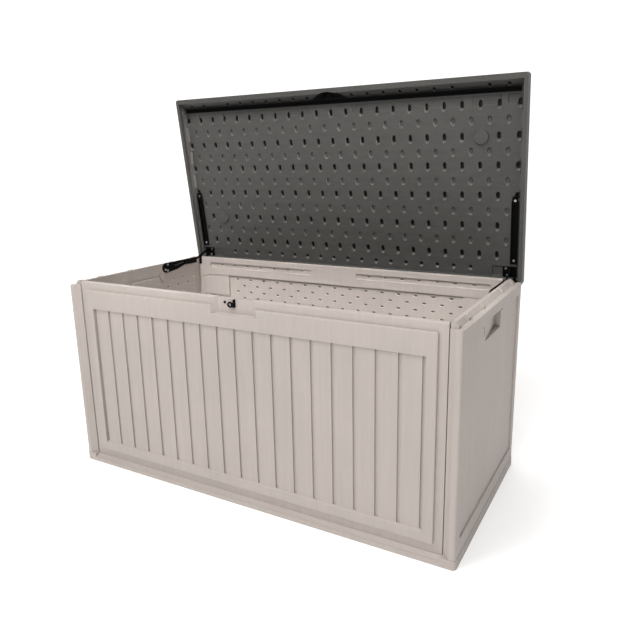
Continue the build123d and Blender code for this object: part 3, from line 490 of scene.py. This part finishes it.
def soften(obj, width, slot=-1):
    """Round the sharp edges of an object; the rounding can take its own material slot."""
    bevel = obj.modifiers.new("edges", "BEVEL")
    bevel.material = slot
    bevel.width = width * MM
    bevel.segments = 2
    bevel.limit_method = "ANGLE"
    bevel.angle_limit = math.radians(38)
    bevel.use_clamp_overlap = True
    bevel.miter_outer = "MITER_SHARP"


def dress(obj, *materials):
    """Give an object these materials; its faces keep their slots."""
    slots = [0] * len(obj.data.polygons)
    obj.data.polygons.foreach_get("material_index", slots)
    obj.data.materials.clear()
    for material in materials:
        obj.data.materials.append(material)
    obj.data.polygons.foreach_set("material_index", [min(k, len(materials) - 1) for k in slots])


# ------------------------------------------------------------------ materials
def new_material(name):
    material = bpy.data.materials.new(name)
    material.use_nodes = True
    tree = material.node_tree
    return material, tree, next(n for n in tree.nodes if n.type == "BSDF_PRINCIPLED")


def noise(tree, vector, detail, rough=0.55):
    tex = tree.nodes.new("ShaderNodeTexNoise")
    tex.inputs["Scale"].default_value = 1.0
    tex.inputs["Detail"].default_value = detail
    tex.inputs["Roughness"].default_value = rough
    tree.links.new(vector, tex.inputs["Vector"])
    return tex.outputs["Fac"]


def stretched(tree, scale):
    coords = tree.nodes.new("ShaderNodeTexCoord")
    mapping = tree.nodes.new("ShaderNodeMapping")
    mapping.inputs["Scale"].default_value = scale
    tree.links.new(coords.outputs["Object"], mapping.inputs["Vector"])
    return mapping.outputs["Vector"]


def ramp(tree, value, stops):
    node = tree.nodes.new("ShaderNodeValToRGB")
    while len(node.color_ramp.elements) < len(stops):
        node.color_ramp.elements.new(0.5)
    for element, (place, colour) in zip(node.color_ramp.elements, stops):
        element.position = place
        element.color = (*colour, 1.0)
    tree.links.new(value, node.inputs["Fac"])
    return node.outputs["Color"]


def colour_input(node, name):
    return next(i for i in node.inputs if i.type == "RGBA" and i.name == name)


def mix_colours(tree, a, b, factor, mode="MIX"):
    """Mix two colours; the second can be a plain colour and the factor a plain number."""
    node = tree.nodes.new("ShaderNodeMix")
    node.data_type = "RGBA"
    node.blend_type = mode
    if isinstance(factor, float):
        node.inputs["Factor"].default_value = factor
    else:
        tree.links.new(factor, node.inputs["Factor"])
    tree.links.new(a, colour_input(node, "A"))
    if isinstance(b, tuple):
        colour_input(node, "B").default_value = (*b, 1.0)
    else:
        tree.links.new(b, colour_input(node, "B"))
    return next(o for o in node.outputs if o.type == "RGBA")


def bump(tree, height, strength, distance, before=None):
    node = tree.nodes.new("ShaderNodeBump")
    node.inputs["Strength"].default_value = strength
    node.inputs["Distance"].default_value = distance
    tree.links.new(height, node.inputs["Height"])
    if before is not None:
        tree.links.new(before, node.inputs["Normal"])
    return node.outputs["Normal"]


def uneven_roughness(tree, shader, value, low, high):
    node = tree.nodes.new("ShaderNodeMapRange")
    node.inputs["To Min"].default_value = low
    node.inputs["To Max"].default_value = high
    tree.links.new(value, node.inputs["Value"])
    tree.links.new(node.outputs["Result"], shader.inputs["Roughness"])


def grained_plastic(name, dark, mid, light, along, rough):
    """Moulded plastic with a fine wood grain that runs along one axis."""
    material, tree, shader = new_material(name)
    across = {"x": (16.0, 60.0, 60.0), "z": (60.0, 60.0, 2.2)}[along]
    fine = tuple(v * 6.0 for v in across)
    wide_bands = noise(tree, stretched(tree, across), 4.0, 0.6)
    fine_lines = noise(tree, stretched(tree, fine), 5.0, 0.7)
    blotches = noise(tree, stretched(tree, (5.0, 5.0, 5.0)), 3.0)
    banded = ramp(tree, wide_bands, ((0.30, dark), (0.52, mid), (0.75, light)))
    lined = ramp(tree, fine_lines, ((0.30, dark), (0.5, mid), (0.70, light)))
    colour = mix_colours(tree, banded, lined, 0.45)
    patchy = ramp(tree, blotches, ((0.3, (0.95, 0.95, 0.95)), (0.7, (1.0, 1.0, 1.0))))
    colour = mix_colours(tree, colour, patchy, 1.0, "MULTIPLY")
    tree.links.new(colour, shader.inputs["Base Color"])
    uneven_roughness(tree, shader, fine_lines, rough - 0.07, rough + 0.09)
    speckle = noise(tree, stretched(tree, (900.0, 900.0, 900.0)), 2.0)
    normal = bump(tree, fine_lines, 0.35, 0.0006)
    normal = bump(tree, speckle, 0.12, 0.0003, normal)
    tree.links.new(normal, shader.inputs["Normal"])
    shader.inputs["Specular IOR Level"].default_value = 0.35
    return material


def hard_material(name, dark, light, scratch, metallic, rough, specular):
    """Coated or plated steel, or hard plastic, with uneven roughness and rubbed streaks."""
    material, tree, shader = new_material(name)
    clouds = noise(tree, stretched(tree, (90.0, 90.0, 90.0)), 4.0)
    streaks = noise(tree, stretched(tree, (30.0, 400.0, 400.0)), 3.0)
    colour = ramp(tree, clouds, ((0.3, dark), (0.7, light)))
    rubbed = ramp(tree, streaks, ((0.66, (0, 0, 0)), (0.78, (1, 1, 1))))
    colour = mix_colours(tree, colour, scratch, rubbed)
    tree.links.new(colour, shader.inputs["Base Color"])
    shader.inputs["Metallic"].default_value = metallic
    shader.inputs["Specular IOR Level"].default_value = specular
    uneven_roughness(tree, shader, streaks, rough - 0.08, rough + 0.12)
    normal = bump(tree, clouds, 0.15, 0.0003)
    tree.links.new(normal, shader.inputs["Normal"])
    return material


def shades(name, mid, spread, along, rough):
    """Three tones of one plastic: its faces, a darker copy for the deep ends of pockets, which is
    painted shade, and a lighter copy for rounded edges and lower lips, which is painted highlight.
    """
    tones = []
    # The second tone is painted shade and the third is painted highlight.
    kinds = (("", 1.0, 0.0), ("_painted_shade", PAINTED_SHADE_SHARE[name], 0.12), ("_painted_highlight", PAINTED_HIGHLIGHT_SHARE[name], -0.04))
    for suffix, share, rougher in kinds:
        steps = (1 - spread, 1.0, 1 + spread)
        dark, middle, light = (tuple(c * share * step for c in mid) for step in steps)
        tones.append(grained_plastic(name + suffix, dark, middle, light, along, rough + rougher))
    return tones


BODY_TONES = shades("body_plastic", BODY_COLOUR, 0.075, "z", 0.52)
LID_TONES = shades("lid_plastic", LID_COLOUR, 0.17, "x", 0.5)
BLACK_STEEL = hard_material(
    "black_steel", (0.002, 0.002, 0.0023), (0.0045, 0.0045, 0.005), (0.012, 0.012, 0.014), 0.0, 0.4, 0.05
)
BLACK_PLASTIC = hard_material(
    "black_plastic", (0.002, 0.002, 0.002), (0.004, 0.004, 0.004), (0.01, 0.01, 0.01), 0.0, 0.5, 0.08
)
ZINC = hard_material(
    "zinc_steel", (0.50, 0.51, 0.52), (0.66, 0.67, 0.68), (0.8, 0.8, 0.8), 1.0, 0.33, 0.5
)


# ------------------------------------------------------------------ lid
UNDERSIDE_AXES = ((1, 0, 0), (0, 1, 0), (0, 0, -1))


def lid_place():
    """Turns a point of the closed lid to where it is at the open stop."""
    turn = Matrix.Rotation(math.radians(-LID_OPEN), 4, "X")
    return Matrix.Translation(HINGE) @ turn @ Matrix.Translation(-HINGE)


def lid_columns(count):
    """X of the columns of dimples."""
    return [(k - (count - 1) / 2) * COLUMN_PITCH for k in range(count)]


DARK_COLUMNS = lid_columns(21)
LIGHT_COLUMNS = lid_columns(22)


def lid_y(length):
    return LID_Y_AT_LENGTH_0 - length


def on_underside(x, length):
    return (x, lid_y(length), UNDERSIDE_Z)


def lid_dimples():
    """The staggered rows of deep and shallow dimples in the lid's underside."""
    cuts = Parts()
    segments = 16
    for length in DARK_ROWS:
        for x in DARK_COLUMNS:
            if all(max(abs(x - bx), abs(length - bl)) >= BOSS_CLEARANCE for bx, bl in BOSSES):
                pocket(cuts, on_underside(x, length), UNDERSIDE_AXES, DARK_DIMPLE, segments)
        if length > OUTER_DIMPLE_FROM:
            for x in (-OUTER_DIMPLE_X, OUTER_DIMPLE_X):
                pocket(cuts, on_underside(x, length), UNDERSIDE_AXES, OUTER_DIMPLE, segments)
    for length in LIGHT_ROWS:
        hinge_side = length == LIGHT_ROWS[0]
        dimple = HINGE_SIDE_DIMPLE if hinge_side else LIGHT_DIMPLE
        for x in LIGHT_COLUMNS:
            if not hinge_side or abs(x) <= HINGE_SIDE_REACH_X:
                pocket(cuts, on_underside(x, length), UNDERSIDE_AXES, dimple, segments)
    return cuts


def lid_recesses():
    """The channel beside the bar, between raised pads, and shallow seats beside the hinge leaves."""
    cuts = Parts()
    n = UNDERSIDE_AXES[2]
    underside = (UNDERSIDE_Z, UNDERSIDE_Z)
    low, high = BAR_CHANNEL_LENGTHS
    spans = [(-b, -a) for a, b in reversed(BAR_CHANNEL_SPANS)] + list(BAR_CHANNEL_SPANS)
    for span in spans:
        profile = recess_profile(BAR_CHANNEL_DEPTH, 1.4)
        box_solid(cuts, span, (lid_y(high), lid_y(low)), underside, n, profile)
    low, high = HINGE_SEAT_LENGTHS
    near, far = HINGE_SEAT_SPAN
    for span in ((-far, -near), (near, far)):
        profile = recess_profile(HINGE_SEAT_DEPTH, 1.0)
        box_solid(cuts, span, (lid_y(high), lid_y(low)), underside, n, profile, 3.0)
    return cuts


def lip_notches():
    """Notches in the slope of the front lip, apart from where the catch and the bar's joints are."""
    cuts = Parts()
    out = Vector((0, LIP_SLOPE_RUN, -LIP_SLOPE_RISE)).normalized()
    along = Vector((0, LIP_SLOPE_RISE, LIP_SLOPE_RUN)).normalized()
    for x in LIGHT_COLUMNS:
        if abs(x) > CATCH_REACH_X and abs(abs(x) - BAR_JOINT_X) > BAR_JOINT_REACH:
            pocket(cuts, (x, *LIP_NOTCH_PLACE), ((1, 0, 0), along, out), LIP_NOTCH, 12)
    return cuts


def lip_panel(adds, sign, low, high):
    """A sloped panel on a side lip between two lengths, its ends a little tapered."""
    (low_x, low_z), (high_x, high_z) = LIP_PANEL_LOW, LIP_PANEL_HIGH
    section = ((low_x, low_z, 0.0), (high_x, high_z, LIP_PANEL_TAPER), (low_x, high_z, 0.0))
    verts = [Vector((sign * x, lid_y(low) - LIP_PANEL_INSET - taper, z)) for x, z, taper in section]
    verts += [Vector((sign * x, lid_y(high) + LIP_PANEL_INSET + taper, z)) for x, z, taper in section]
    faces = [(0, 1, 2), (5, 4, 3), (0, 3, 4, 1), (1, 4, 5, 2), (2, 5, 3, 0)]
    # The sloped face takes the third slot, the lighter tone: painted highlight on the face that meets
    # the light.
    adds.add(verts, faces, [0, 0, 2, 0, 0])


def lid_pads():
    """Round bosses, sloped panels on the side lips and ribs along the hinge side."""
    adds = Parts()
    for x, length in BOSSES:
        centre = on_underside(x, length)
        body = pad_profile(BOSS_HEIGHT, 2.0)
        nipple = pad_profile(BOSS_NIPPLE_HEIGHT, 0.8)
        round_solid(adds, centre, UNDERSIDE_AXES, (BOSS_R, BOSS_R), body, 40, 2.0)
        round_solid(adds, centre, UNDERSIDE_AXES, (BOSS_NIPPLE_R, BOSS_NIPPLE_R), nipple, 16, 2.0)
    for low, high in LIP_PANELS:
        for sign in (-1, 1):
            lip_panel(adds, sign, low, high)
    axes = ((1, 0, 0), (0, 0, 1), (0, -1, 0))
    profile = pad_profile(HINGE_RIB_HEIGHT, 1.4)
    for x in LIGHT_COLUMNS[1:-1]:
        round_solid(adds, (x, *HINGE_RIB_PLACE), axes, HINGE_RIB_HALF, profile, 16, 6.0)
    return adds


def lid_cells():
    """Planes between the rows and between the columns of dimples."""
    rows = sorted(DARK_ROWS + LIGHT_ROWS)
    cells = [((0, lid_y((a + b) / 2), 0), (0, 1, 0)) for a, b in zip(rows, rows[1:])]
    columns = sorted(DARK_COLUMNS + LIGHT_COLUMNS)
    first = columns[0] - COLUMN_PITCH * 0.75
    cells += [((first + k * COLUMN_PITCH / 2, 0, 0), (1, 0, 0)) for k in range(len(columns) + 3)]
    return cells


def build_lid():
    cut_groups = (lid_recesses(), lid_dimples(), lip_notches())
    carve("lid_panel", LID_TONES, cut_groups, lid_pads(), lid_place(), bevel=1.6, cells=lid_cells())


# ------------------------------------------------------------------ walls
def wall_rows():
    """(height, whether half a pitch aside) of the rows of dimples inside a long wall."""
    count = math.ceil((WALL_DIMPLE_HIGH_Z - WALL_DIMPLE_LOW_Z) / WALL_ROW_PITCH)
    return [(WALL_DIMPLE_HIGH_Z - k * WALL_ROW_PITCH, k % 2 == 1) for k in range(count)]


def long_wall_recesses(face, n):
    """The dimpled field, the panels and strips at its ends, and the slots in the top band."""
    cuts = Parts()
    plane = (face, face)
    profile = recess_profile(FIELD_DEPTH, 1.6)
    box_solid(cuts, FIELD_X, plane, (WALL_LOW_Z, BAND_LOW_Z), n, profile)
    for span in POST_SPANS:
        profile = recess_profile(POST_RECESS_DEPTH, 1.2)
        box_solid(cuts, span, plane, (WALL_LOW_Z, POST_RECESS_HIGH_Z), n, profile)
    for span in END_SPANS:
        box_solid(cuts, span, plane, (WALL_LOW_Z, END_HIGH_Z), n, recess_profile(END_DEPTH, 1.6))
        ledge = recess_profile(LEDGE_DEPTH, 0.6, 0.3)
        box_solid(cuts, span, plane, (LEDGE_LOW_Z, BAND_LOW_Z), n, ledge, 1.0)
    for span, _ in SLOTS:
        box_solid(cuts, span, plane, SLOT_Z, n, recess_profile(SLOT_DEPTH, 1.4))
    return cuts


def long_wall_dimples(face, sign, n):
    """Flat dimples in the field, beside it and in the slots of the top band."""
    cuts = Parts()
    segments = 12
    axes = ((1, 0, 0), (0, 0, -1), n)
    low, high = FIELD_X
    for z, aside in wall_rows():
        for k in range(-8, 9):
            x = (k + (0.5 if aside else 0.0)) * WALL_PITCH + FIELD_DIMPLE_OFFSET
            if low + FIELD_MARGIN < x < high - FIELD_MARGIN:
                dimple = DEEP_DIMPLE if aside else SHALLOW_DIMPLE
                pocket(cuts, (x, face + sign * FIELD_DEPTH, z), axes, dimple, segments)
    for x in END_DIMPLE_X:
        for z in END_DIMPLE_Z:
            pocket(cuts, (x, face + sign * END_DEPTH, z), axes, END_DIMPLE, segments)
    for _, first in SLOTS:
        for k in range(SLOT_DIMPLES):
            centre = (first + k * SLOT_DIMPLE_PITCH, face + sign * SLOT_DEPTH, SLOT_DIMPLE_Z)
            pocket(cuts, centre, axes, SLOT_DIMPLE, segments)
    return cuts


def build_long_walls():
    for node, sign in (("front_panel", -1), ("back_panel", 1)):
        face = sign * WALL_IN_Y
        n = (0, -sign, 0)
        cut_groups = (long_wall_recesses(face, n), long_wall_dimples(face, sign, n))
        carve(node, BODY_TONES, cut_groups, bevel=1.8)


def side_cuts():
    """Dimples and small screw holes inside the right side wall."""
    cuts = Parts()
    axes = ((0, 1, 0), (0, 0, -1), (-1, 0, 0))
    segments = 12
    low, high = SIDE_REACH_Y
    pad_low, pad_high = PAD_FREE_Y
    for k in range(math.ceil((SIDE_HIGH_Z - SIDE_LOW_Z) / SIDE_ROW_PITCH)):
        z = SIDE_HIGH_Z - k * SIDE_ROW_PITCH
        aside = k % 2 == 1
        for j in range(-4, 5):
            y = (j + (0.5 if aside else 0.0)) * SIDE_PITCH + SIDE_DIMPLE_OFFSET
            on_pad = pad_low < y < pad_high and z > PAD_FREE_Z
            if low < y < high and not on_pad:
                dimple = SIDE_DEEP_DIMPLE if aside else SIDE_SHALLOW_DIMPLE
                pocket(cuts, (SIDE_IN_X, y, z), axes, dimple, segments)
    upward = ((1, 0, 0), (0, 1, 0), (0, 0, 1))
    for y in LIP_HOLE_Y:
        profile = hole_profile(LIP_HOLE_DEPTH, 0.5, 0.1)
        round_solid(cuts, (LIP_IN_X, y, LIP_HOLE_Z), upward, (LIP_HOLE_R, LIP_HOLE_R), profile, 10)
    return cuts


def side_adds():
    """A pad, two discs and a column of studs inside the right side wall."""
    adds = Parts()
    n = (-1, 0, 0)
    axes = ((0, 1, 0), (0, 0, 1), n)
    plane = (SIDE_IN_X, SIDE_IN_X)
    box_solid(adds, plane, PAD_Y, PAD_Z, n, pad_profile(PAD_HEIGHT, 2.6, 2.0))
    for y, z, height in DISCS:
        profile = pad_profile(height, 2.4)
        round_solid(adds, (SIDE_IN_X, y, z), axes, (DISC_R, DISC_R), profile, 32, 2.0)
    for k in range(STUDS):
        centre = (SIDE_IN_X, STUD_Y, STUD_HIGH_Z - k * SIDE_ROW_PITCH)
        round_solid(adds, centre, axes, STUD_HALF, pad_profile(STUD_HEIGHT, 2.0), 16, 2.2)
    return adds


def build_side_walls():
    for node, flip in (("right_side_panel", False), ("left_side_panel", True)):
        carve(node, BODY_TONES, (side_cuts(),), side_adds(), flip_x=flip, bevel=1.8)


def build_base():
    """The floor tray, with rows of round pockets."""
    cuts = Parts()
    axes = ((1, 0, 0), (0, 1, 0), (0, 0, 1))
    size = (FLOOR_POCKET_R, FLOOR_POCKET_R)
    for j in range(-3, 4):
        for k in range(-9, 10):
            x = (k + 0.5 * (j % 2)) * WALL_PITCH
            if abs(x) < FLOOR_REACH_X:
                centre = (x, j * FLOOR_ROW_PITCH, FLOOR_TOP_Z)
                round_solid(cuts, centre, axes, size, hole_profile(FLOOR_POCKET_DEPTH), 12)
    carve("base_panel", BODY_TONES, (cuts,), bevel=1.6)


# ------------------------------------------------------------------ lift springs
def wound_share(share):
    """How far along the spring a share of its winding is; the end turns lie close together."""
    end = END_TURNS / TURNS
    if share < end:
        return share * END_PITCH_SHARE
    if share > 1 - end:
        return 1 - (1 - share) * END_PITCH_SHARE
    closed = end * END_PITCH_SHARE
    return closed + (share - end) / (1 - 2 * end) * (1 - 2 * closed)


def spring_wire(x):
    """A round wire wound round an axis along y."""
    steps = 18
    ring = 8
    total = TURNS * steps
    verts = []
    for k in range(total + 1):
        turn = 2 * math.pi * k / steps
        out = Vector((math.cos(turn), 0, math.sin(turn)))
        y = SPRING_FRONT_Y + WIRE_R + wound_share(k / total) * (SPRING_LENGTH - 2 * WIRE_R)
        centre = Vector((x, y, SPRING_Z))
        for j in range(ring):
            angle = 2 * math.pi * j / ring
            rise = Vector((0, WIRE_R * math.sin(angle), 0))
            verts.append(centre + out * (COIL_R + WIRE_R * math.cos(angle)) + rise)
    parts = Parts()
    parts.add(verts, tube_faces(total + 1, ring))
    return parts


def build_springs():
    """Wound compression springs, which the sliders shorten as the lid comes down; this wound shape is
    drawn at one length.
    """
    for side, sign in (("left", -1), ("right", 1)):
        name = side + "_lift_spring_wound"
        mesh = spring_wire(sign * SPRING_X).mesh(name)
        mesh.polygons.foreach_set("use_smooth", [True] * len(mesh.polygons))
        obj = add_object(name, mesh)
        dress(obj, ZINC)
        source = side + "_lift_spring"
        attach(obj, nodes[source]["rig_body"])
        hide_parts(source)
        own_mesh(obj)


build_lid()
build_springs()
build_long_walls()
build_side_walls()
build_base()

# ------------------------------------------------------------------ carried-over CAD nodes
BLACK_SCREWS = ("lid_bar_screws", "lid_catch_screws", "lock_staple_screw")
ZINC_WORDS = ("screw", "backing")
PLASTIC_WORDS = ("catch", "slider")


def material_for(name):
    if name == "corner_strips":
        return BODY_TONES[0]
    if name in BLACK_SCREWS:
        return BLACK_STEEL
    if any(word in name for word in ZINC_WORDS):
        return ZINC
    if any(word in name for word in PLASTIC_WORDS):
        return BLACK_PLASTIC
    return BLACK_STEEL


for node_name, node_object in nodes.items():
    if not node_object.hide_render:
        dress(node_object, material_for(node_name))
        soften(node_object, 0.35)

# ------------------------------------------------------------------ studio
scene = bpy.context.scene


def add_floor():
    """A pale floor that glows a little, so that it is as white as the backdrop."""
    material, _, shader = new_material("studio_floor")
    shader.inputs["Base Color"].default_value = (0.86, 0.86, 0.86, 1)
    shader.inputs["Roughness"].default_value = 0.9
    shader.inputs["Emission Color"].default_value = (1.0, 1.0, 1.0, 1.0)
    shader.inputs["Emission Strength"].default_value = 0.33
    mesh = bpy.data.meshes.new("studio_floor")
    corners = ((-1, -1), (1, -1), (1, 1), (-1, 1))
    mesh.from_pydata([(x * FLOOR_HALF, y * FLOOR_HALF, 0) for x, y in corners], [], [(0, 1, 2, 3)])
    mesh.materials.append(material)
    add_object("studio_floor", mesh)


def add_area(name, place, target, power, size, height=None, spread=180.0, colour=(1, 1, 1)):
    """A round soft light; with a height it is a wide strip."""
    light = bpy.data.lights.new(name, "AREA")
    light.shape = "DISK" if height is None else "RECTANGLE"
    light.size = size
    light.size_y = size if height is None else height
    light.spread = math.radians(spread)
    light.energy = power
    light.color = colour
    obj = add_object(name, light)
    obj.location = place
    aim = Vector(target) - Vector(place)
    obj.rotation_euler = aim.to_track_quat("-Z", "Y").to_euler()


def add_lights():
    """A key light, a top light, and narrow ones into the box and along the lid."""
    add_area("key", (1.5, -7.4, 6.2), (0, 0, 0.5), 165.0, 2.2, colour=(0.98, 1.0, 1.02))
    add_area("top", (-0.2, -1.6, 3.6), (0, 0.36, 0.6), 40.0, 0.9)
    add_area("inside", (0.0, -1.7, 2.5), (0, 0.33, 0.40), 1.8, 1.5, 0.2, 14.0)
    add_area("left_inside", (2.2, -1.0, 2.0), (-0.73, -0.05, 0.62), 0.28, 0.7, 0.3, 12.0)
    warm = (1.0, 0.96, 0.92)
    add_area("lid_side", (3.0, -0.35, 1.7), (-0.76, 0.42, 1.08), 0.6, 0.3, 0.6, 12.0, warm)


def map_range(tree, value, low, high, to_low, to_high):
    node = tree.nodes.new("ShaderNodeMapRange")
    node.interpolation_type = "SMOOTHSTEP"
    node.inputs["From Min"].default_value = low
    node.inputs["From Max"].default_value = high
    node.inputs["To Min"].default_value = to_low
    node.inputs["To Max"].default_value = to_high
    tree.links.new(value, node.inputs["Value"])
    return node.outputs["Result"]


def combine(tree, operation, a, b):
    node = tree.nodes.new("ShaderNodeMath")
    node.operation = operation
    tree.links.new(a, node.inputs[0])
    tree.links.new(b, node.inputs[1])
    return node.outputs[0]


def add_world():
    """Soft light, bright behind and overhead and dimmer at the sides, in front of a white backdrop."""
    world = bpy.data.worlds.new("studio")
    scene.world = world
    world.use_nodes = True
    tree = world.node_tree
    background = next(n for n in tree.nodes if n.type == "BACKGROUND")
    background.inputs["Color"].default_value = (1.0, 0.985, 0.97, 1.0)
    coords = tree.nodes.new("ShaderNodeTexCoord")
    split = tree.nodes.new("ShaderNodeSeparateXYZ")
    tree.links.new(coords.outputs["Generated"], split.inputs["Vector"])
    behind = map_range(tree, split.outputs["Y"], 0.0, 0.45, 0.0, BEHIND_STRENGTH)
    right = map_range(tree, split.outputs["X"], 0.05, 0.65, 1.0, RIGHT_SHARE)
    left = map_range(tree, split.outputs["X"], -0.8, -0.2, LEFT_SHARE, 1.0)
    overhead = map_range(tree, split.outputs["Z"], 0.0, 0.6, FRONT_LOW, FRONT_HIGH)
    front = combine(tree, "MULTIPLY", left, overhead)
    light = combine(tree, "MULTIPLY", combine(tree, "MAXIMUM", behind, front), right)
    seen = tree.nodes.new("ShaderNodeLightPath").outputs["Is Camera Ray"]
    backdrop = map_range(tree, seen, 0.0, 1.0, 0.0, BACKDROP)
    tree.links.new(combine(tree, "MAXIMUM", light, backdrop), background.inputs["Strength"])


def add_camera():
    data = bpy.data.cameras.new("camera")
    data.sensor_width = 36.0
    data.lens = CAMERA_LENS
    data.shift_x, data.shift_y = CAMERA_SHIFT
    data.clip_start = 0.05
    camera = add_object("camera", data)
    camera.location = CAMERA_PLACE
    camera.rotation_euler = [math.radians(turn) for turn in CAMERA_TURN]
    bpy.context.scene.camera = camera


add_floor()
add_world()
add_lights()
add_camera()
scene.view_settings.view_transform = "Standard"
